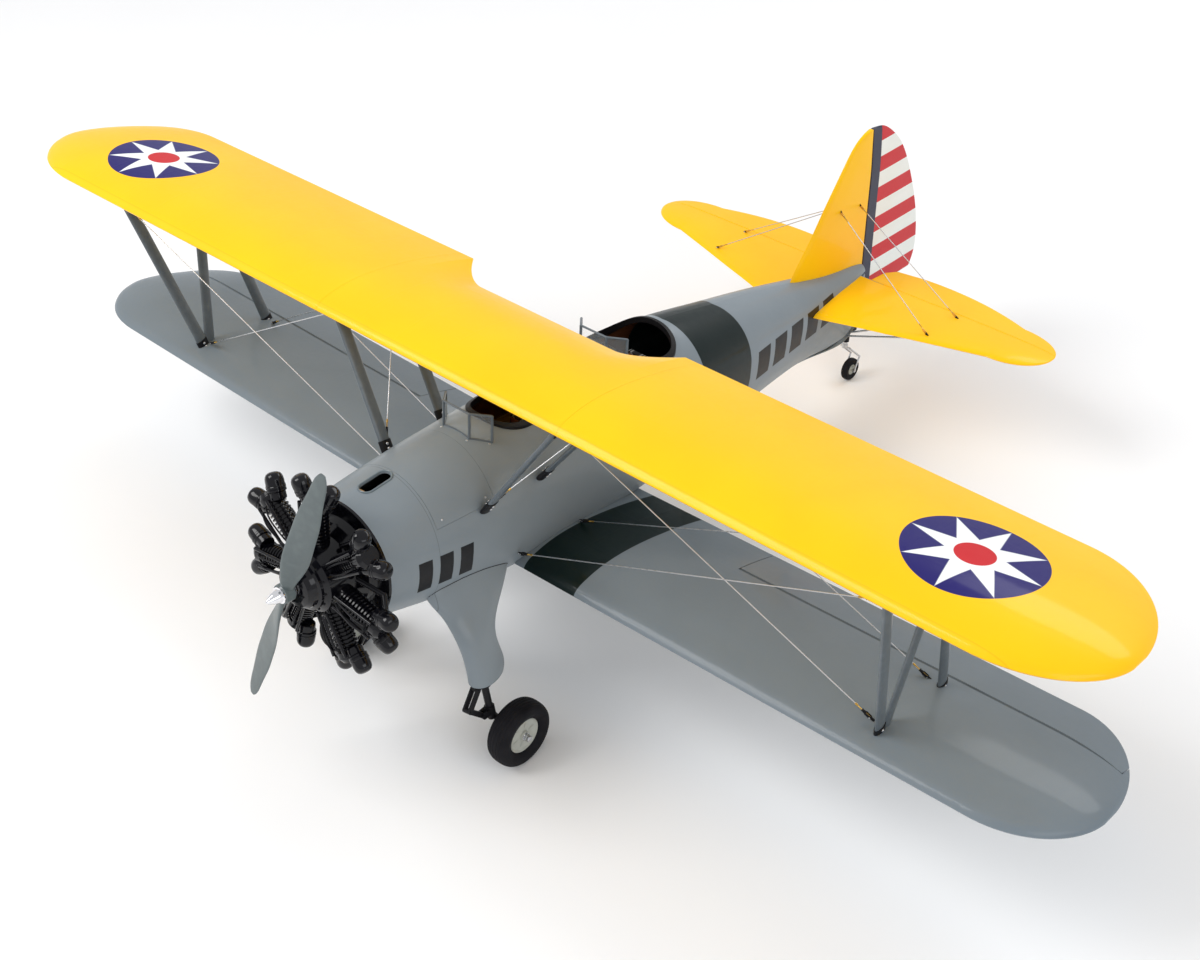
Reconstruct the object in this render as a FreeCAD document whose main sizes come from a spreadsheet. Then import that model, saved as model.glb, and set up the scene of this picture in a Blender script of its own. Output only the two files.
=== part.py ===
import FreeCAD, Part
import math
import os

import Sketcher
from FreeCAD import Placement, Rotation, Vector

# Radio controlled biplane. Lengths in millimetres.
# The airframe is drawn level: X to port, Y aft, Z up, with the thrust line at Z = 0 and the
# leading edge of the upper wing at Y = 0. One stance placement then tips the whole model
# tail-down onto its three wheels, with the origin on the ground under the middle of its box.

os.makedirs("parts", exist_ok=True)
doc = FreeCAD.newDocument("rc_biplane")
sheet = doc.addObject("Spreadsheet::Sheet", "Dimensions")

DIMENSIONS = (
    # wings
    ("upper_half_span", 900.0), ("upper_tip_length", 137.0), ("wing_chord", 266.0),
    ("wing_incidence_deg", 3.0), ("upper_wing_height", 211.1), ("centre_half_width", 211.0),
    ("cutout_chord", 210.0), ("cutout_half_width", 120.0), ("cutout_flare", 70.0),
    ("lower_half_span", 888.0), ("lower_tip_length", 119.0), ("lower_wing_station", 78.1),
    ("lower_wing_height", -90.2), ("dihedral_deg", 1.49), ("wing_thickness", 30.0),
    ("wing_camber", 9.5), ("trailing_edge", 1.6), ("aileron_hinge_chord", 186.0),
    ("aileron_inner", 306.0), ("aileron_outer", 862.0), ("surface_gap", 0.9),
    ("bevel_deg", 25.0), ("wing_tube_radius", 8.0),
    # tail
    ("tail_half_span", 379.0), ("tail_thickness", 12.0), ("elevator_hinge", 944.0),
    ("elevator_root", 39.0), ("rudder_lean_deg", 3.8), ("rudder_hinge_station", 966.0),
    ("rudder_reach", 1134.0),
    # fuselage
    ("cowl_front", -146.0), ("wall", 2.4), ("fuselage_end", 965.0),
    ("cowl_front_radius", 83.0),
    # engine
    ("cylinder_count", 7), ("cylinder_station", -187.0), ("barrel_radius", 14.5),
    ("barrel_base", 34.0), ("barrel_top", 104.0), ("fin_count", 10), ("rocker_radius", 12.5),
    ("rocker_length", 34.0), ("plate_thickness", 4.0), ("nose_case_radius", 33.0),
    ("shaft_radius", 4.0), ("prop_station", -243.5),
    ("hub_radius", 13.0), ("hub_thickness", 13.0), ("nut_length", 27.0),
    ("motor_radius", 24.0),
    # landing gear
    ("wheel_track_half", 167.0), ("wheel_station", -6.0), ("wheel_drop", -274.0),
    ("tyre_radius", 48.0), ("tyre_width", 34.0), ("hub_disc_radius", 26.0),
    ("axle_radius", 3.0), ("oleo_radius", 7.0), ("piston_radius", 5.0),
    ("tail_wheel_station", 981.0), ("tail_wheel_drop", -195.0), ("tail_tyre_radius", 19.5),
    ("tail_tyre_width", 13.0), ("running_gap", 0.06),
    # rigging
    ("wire_radius", 0.7), ("strut_chord", 18.0), ("strut_thickness", 7.0),
    # controls
    ("rod_radius", 1.2), ("pin_radius", 0.9),
)
for row, (alias, amount) in enumerate(DIMENSIONS, start=1):
    sheet.set("A" + str(row), alias)
    sheet.set("B" + str(row), str(amount))
    sheet.setAlias("B" + str(row), alias)
doc.recompute()

X_AXIS = Vector(1, 0, 0)
Y_AXIS = Vector(0, 1, 0)
Z_AXIS = Vector(0, 0, 1)
SIDES = (("left", 1), ("right", -1))


def size(alias):
    """A driving dimension, read from the sheet."""
    return float(sheet.get(alias))


def stance():
    """The placement that stands the level aircraft on its main wheels and tail wheel."""
    main = Vector(0, size("wheel_station"), size("wheel_drop"))
    tail = Vector(0, size("tail_wheel_station"), size("tail_wheel_drop"))
    radius_step = size("tyre_radius") - size("tail_tyre_radius")
    along, up = tail.y - main.y, tail.z - main.z
    tilt = math.atan2(up, along) + math.asin(radius_step / math.hypot(along, up))
    turn = Rotation(X_AXIS, -math.degrees(tilt))
    lift = size("tyre_radius") - turn.multVec(main).z
    nose = turn.multVec(Vector(0, size("prop_station") - size("nut_length") - 2.5, 0)).y
    rear = turn.multVec(Vector(0, size("rudder_reach"), 0)).y
    return Placement(Vector(0, -(nose + rear) / 2, lift), turn)


STANCE = stance()
subparts = []


def finish(piece, label):
    """Name a finished sub-part and stand it with the rest of the aircraft."""
    piece.Label = label
    piece.Placement = STANCE.multiply(piece.Placement)
    subparts.append(piece)
    return piece


def set_size(piece, prop, amount):
    """Bind a property to the sheet when the amount is an expression, else set it."""
    if isinstance(amount, str):
        piece.setExpression(prop, amount)
    else:
        setattr(piece, prop, amount)


def link(alias):
    return "Dimensions." + alias


def cylinder(name, start, direction, radius, length):
    piece = doc.addObject("Part::Cylinder", name)
    set_size(piece, "Radius", radius)
    set_size(piece, "Height", length)
    piece.Placement = Placement(start, Rotation(Z_AXIS, direction))
    return piece


def box(name, corner, length, width, height):
    piece = doc.addObject("Part::Box", name)
    set_size(piece, "Length", length)
    set_size(piece, "Width", width)
    set_size(piece, "Height", height)
    piece.Placement = Placement(corner, Rotation())
    return piece


def shape_piece(name, shape):
    piece = doc.addObject("Part::Feature", name)
    piece.Shape = shape
    return piece


def fuse(name, pieces):
    if len(pieces) == 1:
        return pieces[0]
    joined = doc.addObject("Part::MultiFuse", name)
    joined.Shapes = pieces
    return joined


def cut(name, base, tools):
    trimmed = doc.addObject("Part::Cut", name)
    trimmed.Base = base
    trimmed.Tool = fuse(name + "_tool", tools)
    return trimmed


def common(name, first, second):
    shared = doc.addObject("Part::Common", name)
    shared.Base = first
    shared.Tool = second
    return shared


def group(name, pieces):
    bundle = doc.addObject("Part::Compound", name)
    bundle.Links = pieces
    return bundle


def turn_profile(name, points, axis_start, axis, smooth=()):
    """A solid of revolution from a closed outline of points (radius, height along the axis)."""
    frame = Placement(axis_start, Rotation(Z_AXIS, axis))
    corners = [frame.multVec(Vector(radius, 0, height)) for radius, height in points]
    edges = []
    for index, corner in enumerate(corners):
        after = corners[(index + 1) % len(corners)]
        if (after - corner).Length > 1e-6:
            edges.append(Part.LineSegment(corner, after).toShape())
    face = Part.Face(Part.Wire(edges))
    return face.revolve(axis_start, frame.Rotation.multVec(Z_AXIS), 360)


def origin_plane(body, role):
    return [plane for plane in body.Origin.OriginFeatures if plane.Role == role][0]


def body_sketch(body, name, role):
    sketch = body.newObject("Sketcher::SketchObject", name)
    sketch.AttachmentSupport = [(origin_plane(body, role), "")]
    sketch.MapMode = "FlatFace"
    return sketch


def draw_circle(sketch, x, y, radius_link):
    """A circle whose radius is bound to the sheet."""
    index = sketch.addGeometry(Part.Circle(Vector(x, y, 0), Z_AXIS, size(radius_link)), False)
    rule = sketch.addConstraint(Sketcher.Constraint("Radius", index, size(radius_link)))
    sketch.setExpression("Constraints[%d]" % rule, link(radius_link))
    return index


# ---------------------------------------------------------------- aerofoil surfaces

def aerofoil_heights(share, thickness, camber):
    """Upper and lower surface heights over the chord line at a share of the chord."""
    spread = 5 * thickness * (0.2969 * math.sqrt(share) - 0.126 * share - 0.3516 * share ** 2
                              + 0.2843 * share ** 3 - 0.1015 * share ** 4)
    peak = 0.38
    if share < peak:
        mean = camber * (2 * peak * share - share ** 2) / peak ** 2
    else:
        mean = camber * (1 - 2 * peak + 2 * peak * share - share ** 2) / (1 - peak) ** 2
    return mean + spread, mean - spread


def aerofoil_section(span, lead, trail, thickness, camber, full_chord=None):
    """Closed aerofoil wire in the plane X = span, from lead to trail along Y.
    With full_chord, only the rear half of a longer aerofoil is drawn in."""
    steps = 11
    chord = trail - lead
    whole = full_chord or chord
    upper, lower = [], []
    for step in range(steps + 1):
        share = (1 - math.cos(math.pi * step / steps)) / 2
        along = share * whole
        if full_chord and share > 0.5:
            along = whole / 2 + (along - whole / 2) * (chord - whole / 2) / (whole / 2)
        top, bottom = aerofoil_heights(share, thickness, camber)
        edge = share * size("trailing_edge") / 2 * thickness / size("wing_thickness")
        upper.append(Vector(span, lead + along, top + edge))
        lower.append(Vector(span, lead + along, bottom - edge))
    upper[0] = lower[0] = Vector(span, lead, 0)
    top_curve = Part.BSplineCurve()
    top_curve.interpolate(list(reversed(upper)))
    bottom_curve = Part.BSplineCurve()
    bottom_curve.interpolate(lower)
    closing = Part.LineSegment(lower[-1], upper[-1])
    return Part.Wire([top_curve.toShape(), bottom_curve.toShape(), closing.toShape()])


def surface_panel(stations, thickness, camber, full_chord=None, ruled=False):
    """A solid lofted through aerofoils; a station is (span, lead, trail, thickness share)."""
    wires = [aerofoil_section(span, lead, trail, thickness * share, camber * share, full_chord)
             for span, lead, trail, share in stations]
    return Part.makeLoft(wires, True, ruled)


def rounded_tip(start, length, lead, trail, peak, steps=6):
    """Stations of an elliptical tip whose outermost point lies at Y = peak."""
    stations = []
    for step in range(steps + 1):
        angle = math.radians(84 * step / steps)
        near = math.cos(angle)
        stations.append((start + length * math.sin(angle),
                         peak - (peak - lead) * near, peak + (trail - peak) * near, near))
    return stations


def wing_half(root, half_span, tip_length):
    """A constant-chord wing panel with a rounded tip, along +X in the wing's own frame."""
    chord = size("wing_chord")
    thickness, camber = size("wing_thickness"), size("wing_camber")
    tip_start = half_span - tip_length
    straight = surface_panel([(root, 0, chord, 1), (tip_start, 0, chord, 1)],
                             thickness, camber, ruled=True)
    tip = surface_panel(rounded_tip(tip_start, tip_length, 0, chord, chord / 2 - 23),
                        thickness, camber)
    return straight.fuse(tip)


def prism(points, start, depth, plane="yz"):
    """A straight-sided solid on an outline: in the YZ plane along +X, or the XY plane along +Z."""
    if plane == "yz":
        corners = [Vector(start, a, b) for a, b in points]
        sweep = Vector(depth, 0, 0)
    else:
        corners = [Vector(a, b, start) for a, b in points]
        sweep = Vector(0, 0, depth)
    return Part.Face(Part.makePolygon(corners + corners[:1])).extrude(sweep)


def bevel_wedge(hinge_y, hinge_z, start, depth, reach=400):
    """Everything behind a hinge line, bevelled to an edge on it so that the surface can turn."""
    rise = 60.0
    back = hinge_y + rise * math.tan(math.radians(size("bevel_deg")))
    outline = [(hinge_y, hinge_z), (back, hinge_z + rise), (hinge_y + reach, hinge_z + rise),
               (hinge_y + reach, hinge_z - rise), (back, hinge_z - rise)]
    return prism(outline, start, depth)


# ---------------------------------------------------------------- fuselage sections

# station, half width, top, bottom, squareness of the lower half
FUSELAGE_STATIONS = (
    (-146, 83, 83, -83, 2.0), (-108, 87, 88, -90, 2.1), (-70, 89.5, 92, -98, 2.2),
    (0, 92, 99, -109, 2.5), (80, 93, 104, -115, 2.9), (200, 93, 109, -117, 3.1),
    (330, 90, 112, -117, 3.1), (440, 84, 107.5, -113, 2.9), (560, 72, 87.5, -106, 2.6),
    (670, 58, 68.5, -102, 2.5), (800, 42, 41, -103, 2.5), (900, 27, 24, -118, 2.5),
    (968, 13, 13, -96, 2.4))


def section_at(station):
    """Fuselage section size at any station, between the tabled ones."""
    rows = FUSELAGE_STATIONS
    for before, after in zip(rows, rows[1:]):
        if station <= after[0]:
            share = (station - before[0]) / (after[0] - before[0])
            return tuple(a + (b - a) * share for a, b in zip(before, after))
    return rows[-1]


def fuselage_wire(row, inset=0.0):
    """The port half of a section: round on top, squarer below, shrunk evenly by the inset."""
    station, half_width, top, bottom, square = row
    half_width, top, bottom = half_width - inset, top - inset, bottom + inset
    steps = 12
    points = []
    for step in range(steps + 1):
        angle = math.pi * (0.5 - step / steps)
        power = 2.0 if angle >= 0 else square
        across = math.cos(angle) ** (2 / power) if abs(angle) < 1.57 else 0.0
        upward = abs(math.sin(angle)) ** (2 / power)
        points.append(Vector(half_width * across, station,
                             (top if angle >= 0 else bottom) * upward))
    curve = Part.BSplineCurve()
    curve.interpolate(points, InitialTangent=X_AXIS, FinalTangent=-X_AXIS)
    return Part.Wire([curve.toShape(), Part.LineSegment(points[-1], points[0]).toShape()])


def fuselage_loft(start, end, inset=0.0):
    """The fuselage form between two stations: the port half and its mirror image."""
    rows = [section_at(start)]
    rows += [row for row in FUSELAGE_STATIONS if start + 5 < row[0] < end - 5]
    rows += [section_at(end)]
    port = Part.makeLoft([fuselage_wire(row, inset) for row in rows], True, False)
    return port.fuse(port.mirror(Vector(0, 0, 0), X_AXIS))


def near(first, second):
    """Whether two shapes' boxes come close enough for one to need trimming by the other."""
    box_a, box_b = first.optimalBoundingBox(False), second.optimalBoundingBox(False)
    box_a.enlarge(1.0)
    return box_a.intersect(box_b)


def carved(shape, tools):
    """A shape with the tools taken out of it one after another."""
    for tool in tools:
        shape = shape.cut(tool)
    return shape


def trimmed(shape, neighbours):
    """A shape cut back to whichever of its neighbours it reaches; the largest part is kept."""
    for neighbour in neighbours:
        if near(shape, neighbour):
            shape = shape.cut(neighbour)
    return max(shape.Solids, key=lambda solid: solid.Volume)


# ---------------------------------------------------------------- wings

INCIDENCE = Rotation(X_AXIS, -size("wing_incidence_deg"))
UPPER_FRAME = Placement(Vector(0, 0, size("upper_wing_height")), INCIDENCE)


def lower_frame(side):
    """The lower panel's own frame: +X outward along its dihedral for port, inward for starboard."""
    rise = Rotation(Y_AXIS, -side * size("dihedral_deg"))
    root = Vector(0, size("lower_wing_station"), size("lower_wing_height"))
    return Placement(root, rise.multiply(INCIDENCE))


def flipped(shape):
    return shape.mirror(Vector(0, 0, 0), X_AXIS)


def centre_section():
    """Centre of the upper wing, its trailing edge cut away over the cockpit."""
    chord, short = size("wing_chord"), size("cutout_chord")
    thickness, camber = size("wing_thickness"), size("wing_camber")
    inner, flare = size("cutout_half_width"), size("cutout_flare")
    middle = surface_panel([(-inner, 0, short, 1), (inner, 0, short, 1)],
                           thickness, camber, chord, ruled=True)
    steps = 6
    stations = []
    for step in range(steps + 1):
        share = step / steps
        stations.append((inner + flare * share, 0, short + (chord - short) * share ** 1.6, 1))
    side = surface_panel(stations, thickness, camber, chord)
    outer = surface_panel([(inner + flare, 0, chord, 1), (size("centre_half_width"), 0, chord, 1)],
                          thickness, camber, chord, ruled=True)
    half = side.fuse(outer)
    return middle.fuse([half, flipped(half)]).removeSplitter()


def wing_tubes(stations, half_length):
    """Solid bars standing for the joiner tubes, in a wing's own frame."""
    return [Part.makeCylinder(size("wing_tube_radius"), 2 * half_length,
                              Vector(-half_length, chordwise, height), X_AXIS)
            for chordwise, height in stations]


UPPER_TUBES = ((70.0, 9.0), (150.0, 9.0))
LOWER_TUBES = ((70.0, 9.0),)
TUBE_REACH = 340.0

upper_bars = wing_tubes(UPPER_TUBES, TUBE_REACH)
upper_panel = wing_half(size("centre_half_width") + 0.3, size("upper_half_span"),
                        size("upper_tip_length"))
for label, side in SIDES:
    panel = upper_panel if side > 0 else flipped(upper_panel)
    piece = shape_piece("UpperPanel" + label.title(), panel.cut(upper_bars))
    piece.Placement = UPPER_FRAME
    finish(piece, "upper_wing_" + label)

piece = shape_piece("CentreSection", centre_section().cut(upper_bars))
piece.Placement = UPPER_FRAME
finish(piece, "upper_wing_centre")

tubes = []
for index, (chordwise, height) in enumerate(UPPER_TUBES):
    start = UPPER_FRAME.multVec(Vector(-TUBE_REACH, chordwise, height))
    tubes.append(cylinder("UpperTube%d" % index, start, X_AXIS, link("wing_tube_radius"),
                          2 * TUBE_REACH))

# ---------------------------------------------------------------- fuselage

fuselage_form = fuselage_loft(size("cowl_front"), size("fuselage_end"))
inner_form = fuselage_loft(size("cowl_front") + 6, size("fuselage_end") - 14, size("wall"))
nose_bore = Part.makeCylinder(size("cowl_front_radius") - 6, 20,
                              Vector(0, size("cowl_front") - 5, 0), Y_AXIS)


def oval_column(centre, half_length, half_width, fullness, floor, ceiling=160.0):
    """A vertical column with an oval outline, squarer as its fullness grows past 2."""
    points = []
    count = 40
    for step in range(count):
        angle = 2 * math.pi * step / count
        across, along = [math.copysign(abs(value) ** (2 / fullness), value)
                         for value in (math.cos(angle), math.sin(angle))]
        points.append(Vector(half_width * across, centre + half_length * along, floor))
    curve = Part.BSplineCurve()
    curve.interpolate(points, PeriodicFlag=True)
    return Part.Face(Part.Wire([curve.toShape()])).extrude(Vector(0, 0, ceiling - floor))


# middle, half length, half width and fullness of the outline
FRONT_COCKPIT = (140.0, 55.0, 46.0, 2.3)
REAR_COCKPIT = (383.0, 55.0, 58.0, 3.0)
HATCH_FRONT, HATCH_REAR, HATCH_SILL = -66.0, 30.0, 42.0
SLOT_CENTRE, SLOT_LENGTH, SLOT_WIDTH = -94.0, 46.0, 18.0


def slot_column(grow, floor, ceiling=120.0):
    """A round-ended column through the cooling slot on top of the nose."""
    half, radius = SLOT_LENGTH / 2 + grow, SLOT_WIDTH / 2 + grow
    run = half - radius
    middle = Part.makeBox(2 * radius, 2 * run, ceiling - floor,
                          Vector(-radius, SLOT_CENTRE - run, floor))
    ends = [Part.makeCylinder(radius, ceiling - floor, Vector(0, SLOT_CENTRE + end * run, floor))
            for end in (-1, 1)]
    return middle.fuse(ends)


def cockpit_rim(cockpit):
    """The padded edge of a cockpit: a band of the fuselage skin standing a little proud."""
    centre, half_length, half_width, fullness = cockpit
    band = fuselage_loft(centre - 90, centre + 90, -3.5)
    band = band.cut(fuselage_loft(centre - 95, centre + 95, size("wall") + 2.5))
    outer = oval_column(centre, half_length + 2.5, half_width + 2.5, fullness, 40.0)
    inner = oval_column(centre, half_length - 3.5, half_width - 3.5, fullness, 30.0)
    return band.common(outer.cut(inner))


def tail_half():
    """Half of the horizontal tail: straight swept leading edge, bowed trailing edge, round tip."""
    root, tip_start = 0.0, 300.0
    hinge_root = 776.0
    sweep = 0.355
    bow = 0.00124
    bow_centre, bow_reach = 142.0, 1016.0
    peak = 932.0
    stations = []
    for span in (0, 40, 90, 142, 200, 250, tip_start):
        lead = hinge_root + max(0, span - 40) * sweep
        stations.append((span, lead, bow_reach - bow * (max(span, 40) - bow_centre) ** 2, 1))
    lead, trail = stations[-1][1:3]
    tip = rounded_tip(tip_start, size("tail_half_span") - tip_start, lead, trail, peak, 5)
    thickness = size("tail_thickness")
    form = surface_panel(stations[:-1] + [tip[0]], thickness, 0)
    return form.fuse(surface_panel(tip, thickness, 0))


# height, leading edge, trailing edge of the fin and rudder together
FIN_STATIONS = (
    (-49, 800, 1123), (-22, 785, 1133), (10, 772, 1132), (48, 769, 1123), (86, 796, 1109),
    (138, 833, 1084), (182, 865, 1058), (208, 884, 1037), (228, 900, 1014), (242, 918, 993),
    (250, 940, 970))
LEAN = math.tan(math.radians(size("rudder_lean_deg")))
RUDDER_AXIS = Vector(0, -LEAN, 1).normalize()
RUDDER_PIVOT = Vector(0, size("rudder_hinge_station"), 0)
UPRIGHT = Rotation(Y_AXIS, -90)


def fin_form():
    """Fin and rudder as one upright aerofoil."""
    stations = [(height, lead, trail, 1 - 0.45 * max(0, height - 180) / 70)
                for height, lead, trail in FIN_STATIONS]
    form = surface_panel(stations, size("tail_thickness"), 0)
    return form.transformGeometry(Placement(Vector(), UPRIGHT).toMatrix())


def rudder_wedge(gap):
    """Everything behind the rudder hinge line, bevelled for its swing."""
    wedge = bevel_wedge(gap, 0, -400, 900)
    turn = Rotation(Z_AXIS, -math.degrees(math.atan(LEAN)))
    wedge.Placement = Placement(RUDDER_PIVOT, UPRIGHT.multiply(turn))
    return wedge


def hinge_slab(gap):
    """Everything behind the rudder hinge line, cut square."""
    slab = Part.makeBox(900, 400, 400, Vector(-400, -gap, -200))
    turn = Rotation(Z_AXIS, -math.degrees(math.atan(LEAN)))
    slab.Placement = Placement(RUDDER_PIVOT, UPRIGHT.multiply(turn))
    return slab


half_gap = size("surface_gap") / 2
fin_and_rudder = fin_form()
rudder_shape = fin_and_rudder.common(rudder_wedge(half_gap))
tail_port = tail_half()
tail_plane = tail_port.fuse(flipped(tail_port))
behind_elevator = Part.makeBox(900, 400, 100, Vector(-450, size("elevator_hinge") - half_gap, -50))
joiner_room = Part.makeCylinder(3.3, 124, Vector(-62, size("elevator_hinge"), 0), X_AXIS)
stabilizer_shape = carved(tail_plane, [behind_elevator, joiner_room])
root_clear = prism([(0, 700), (size("elevator_root"), 700), (size("elevator_root"), 984),
                    (64, 1030), (0, 1030)], -30, 60, "xy")
joiner_bar = Part.makeCylinder(2.5, 116, Vector(-58, size("elevator_hinge"), 0), X_AXIS)
elevator_shape = tail_port.common(bevel_wedge(size("elevator_hinge") + half_gap, 0, -1, 400))
elevator_shape = elevator_shape.cut([root_clear, joiner_bar])


def joiner_half():
    """The port half of the lower joiner tube, sloped to suit the dihedral and ended at the middle."""
    chordwise, height = LOWER_TUBES[0]
    bar = Part.makeCylinder(size("wing_tube_radius"), TUBE_REACH + 10,
                            Vector(-10, chordwise, height), X_AXIS)
    bar.Placement = lower_frame(1)
    return bar.common(Part.makeBox(TUBE_REACH + 20, 200, 200, Vector(0, 50, -180)))


joiner_shape = joiner_half().fuse(flipped(joiner_half()))
hatch_block = Part.makeBox(240, HATCH_REAR - HATCH_FRONT, 120,
                           Vector(-120, HATCH_FRONT, HATCH_SILL))
shell = carved(fuselage_form, [inner_form, nose_bore])
openings = [oval_column(*FRONT_COCKPIT, 20.0), oval_column(*REAR_COCKPIT, 20.0),
            slot_column(0, 60), tail_plane, joiner_room, joiner_shape]
rims = [cockpit_rim(FRONT_COCKPIT), cockpit_rim(REAR_COCKPIT)]
fuselage_shape = carved(shell, [hatch_block] + openings + rims)
hatch_gap = 0.4
hatch_shape = shell.common(Part.makeBox(
    240, HATCH_REAR - HATCH_FRONT - 2 * hatch_gap, 120,
    Vector(-120, HATCH_FRONT + hatch_gap, HATCH_SILL + hatch_gap)))
hatch_shape = hatch_shape.cut(slot_column(0, 60))

finish(shape_piece("Fuselage", fuselage_shape), "fuselage_shell")
finish(shape_piece("Hatch", hatch_shape), "top_hatch")
finish(group("Rims", [shape_piece("RimFront", rims[0]), shape_piece("RimRear", rims[1])]),
       "cockpit_rims")
fin_shape = fin_and_rudder.cut([hinge_slab(half_gap), fuselage_form])
finish(shape_piece("Fin", fin_shape), "fin")
finish(shape_piece("Rudder", rudder_shape), "rudder")
finish(shape_piece("Stabilizer", stabilizer_shape), "stabilizer")
finish(group("Elevator", [
    shape_piece("ElevatorLeft", elevator_shape),
    shape_piece("ElevatorRight", flipped(elevator_shape)),
    cylinder("ElevatorJoiner", Vector(-58, size("elevator_hinge"), 0), X_AXIS, 2.5, 116)]),
    "elevator")

# ---------------------------------------------------------------- lower wing and ailerons

AILERON_LEVEL = sum(aerofoil_heights(size("aileron_hinge_chord") / size("wing_chord"),
                                     size("wing_thickness"), size("wing_camber"))) / 2
lower_panel = wing_half(40.0, size("lower_half_span"), size("lower_tip_length"))
aileron_inner, aileron_outer = size("aileron_inner"), size("aileron_outer")
hinge_y = size("aileron_hinge_chord")
aileron_bay = Part.makeBox(aileron_outer - aileron_inner + 2.4, 200, 100,
                           Vector(aileron_inner - 1.2, hinge_y - half_gap, -50))
aileron_wedge = bevel_wedge(hinge_y + half_gap, AILERON_LEVEL, aileron_inner,
                            aileron_outer - aileron_inner)
aileron_shape = lower_panel.common(aileron_wedge)
lower_bars = wing_tubes(LOWER_TUBES, TUBE_REACH)

# The aileron servo lies in the panel with its output shaft level with the hinge, and its arm,
# the pushrod and the horn make a parallelogram under the wing.
LINKAGE_SPAN = 470.0
SERVO_CHORD = 96.0
ARM_DROP = 24.0
servo_size = Vector(12, 32, 22)
servo_corner = Vector(LINKAGE_SPAN - servo_size.x - 3, SERVO_CHORD - 10, AILERON_LEVEL - 14)
servo_room = Part.makeBox(servo_size.x, servo_size.y, servo_size.z, servo_corner)
arm_room = Part.makeBox(9, 46, 60, Vector(LINKAGE_SPAN - 3, SERVO_CHORD - 23,
                                          AILERON_LEVEL - 52))
lower_shape = lower_panel.cut([aileron_bay, servo_room, arm_room] + lower_bars)
PORT_FRAME = lower_frame(1)
panel = lower_shape.copy()
panel.Placement = PORT_FRAME
panel = panel.cut(fuselage_form)
for label, side in SIDES:
    finish(shape_piece("LowerPanel" + label.title(), panel if side > 0 else flipped(panel)),
           "lower_wing_" + label)


def in_frame(shape, side):
    """A shape drawn in the port panel's frame, stood in its place on either side."""
    placed = shape.copy()
    placed.Placement = PORT_FRAME
    return placed if side > 0 else flipped(placed)


shaft_end = Part.makeCylinder(2.5, 5.2, Vector(LINKAGE_SPAN - 3, SERVO_CHORD, AILERON_LEVEL),
                              X_AXIS)
aileron_servo = servo_room.fuse(shaft_end)
servos = [shape_piece("AileronServo" + label.title(), in_frame(aileron_servo, side))
          for label, side in SIDES]

hub_radius, arm_thick, eye_reach = 5.0, 2.0, 2.6
foot = AILERON_LEVEL - ARM_DROP
arm = prism([(SERVO_CHORD - hub_radius, AILERON_LEVEL), (SERVO_CHORD + hub_radius, AILERON_LEVEL),
             (SERVO_CHORD + eye_reach, foot - eye_reach), (SERVO_CHORD - eye_reach, foot - eye_reach)],
            LINKAGE_SPAN, arm_thick)
arm = arm.fuse(Part.makeCylinder(hub_radius, arm_thick,
                                 Vector(LINKAGE_SPAN, SERVO_CHORD, AILERON_LEVEL), X_AXIS))
arm = arm.cut([Part.makeCylinder(2.56, 6, Vector(LINKAGE_SPAN - 2, SERVO_CHORD, AILERON_LEVEL),
                                 X_AXIS),
               Part.makeCylinder(size("pin_radius") + size("running_gap"), 6,
                                 Vector(LINKAGE_SPAN - 2, SERVO_CHORD, foot), X_AXIS)])

lower_skin = aerofoil_heights(0.76, size("wing_thickness"), size("wing_camber"))[1]
horn = prism([(hinge_y - 3, foot - 3), (hinge_y + 3, foot - 3), (hinge_y + 20, lower_skin + 1),
              (hinge_y + 6, lower_skin + 1)], LINKAGE_SPAN, arm_thick)
horn = horn.fuse(Part.makeBox(14, 18, 3.2, Vector(LINKAGE_SPAN - 6, hinge_y + 7, lower_skin - 2)))
open_eye = Part.makeCylinder(size("pin_radius") + 0.6, 8,
                             Vector(LINKAGE_SPAN - 3, hinge_y, foot), X_AXIS)
horn = trimmed(horn.cut(open_eye), [lower_panel])

beside = LINKAGE_SPAN + 3.4
rod_r, pin_r = size("rod_radius"), size("pin_radius")
pushrod = Part.makeCylinder(rod_r, hinge_y - SERVO_CHORD + 4, Vector(beside, SERVO_CHORD - 2, foot),
                            Y_AXIS)
for pin_station in (SERVO_CHORD, hinge_y):
    pushrod = pushrod.fuse(Part.makeCylinder(pin_r, 5, Vector(LINKAGE_SPAN - 1, pin_station, foot),
                                             X_AXIS))
for label, side in SIDES:
    finish(shape_piece("ServoArm" + label.title(), in_frame(arm, side)),
           "aileron_servo_arm_" + label)
    finish(shape_piece("PushRod" + label.title(), in_frame(pushrod, side)),
           "aileron_pushrod_" + label)
    title = "Aileron" + label.title()
    finish(group(title, [shape_piece(title + "Surface", in_frame(aileron_shape, side)),
                         shape_piece(title + "Horn", in_frame(horn, side))]), "aileron_" + label)
finish(group("JoinerTubes", tubes + [shape_piece("LowerTube", joiner_shape)]),
       "wing_joiner_tubes")

# ---------------------------------------------------------------- engine and propeller

PLATE_Y = size("cowl_front")
STATION = size("cylinder_station")
SHAFT_GAP = size("running_gap")


def ring_profile(inner, outer, start, end):
    return [(inner, start), (outer, start), (outer, end), (inner, end)]


plate = doc.addObject("PartDesign::Body", "EnginePlateBody")
sketch = body_sketch(plate, "PlateSketch", "XZ_Plane")
draw_circle(sketch, 0, 0, "cowl_front_radius")
draw_circle(sketch, 0, 0, "nose_case_radius")
pad = plate.newObject("PartDesign::Pad", "PlatePad")
pad.Profile = sketch
pad.setExpression("Length", link("plate_thickness"))
plate.Tip = pad
plate.Placement = Placement(Vector(0, PLATE_Y, 0), Rotation())
finish(plate, "engine_plate")

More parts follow.
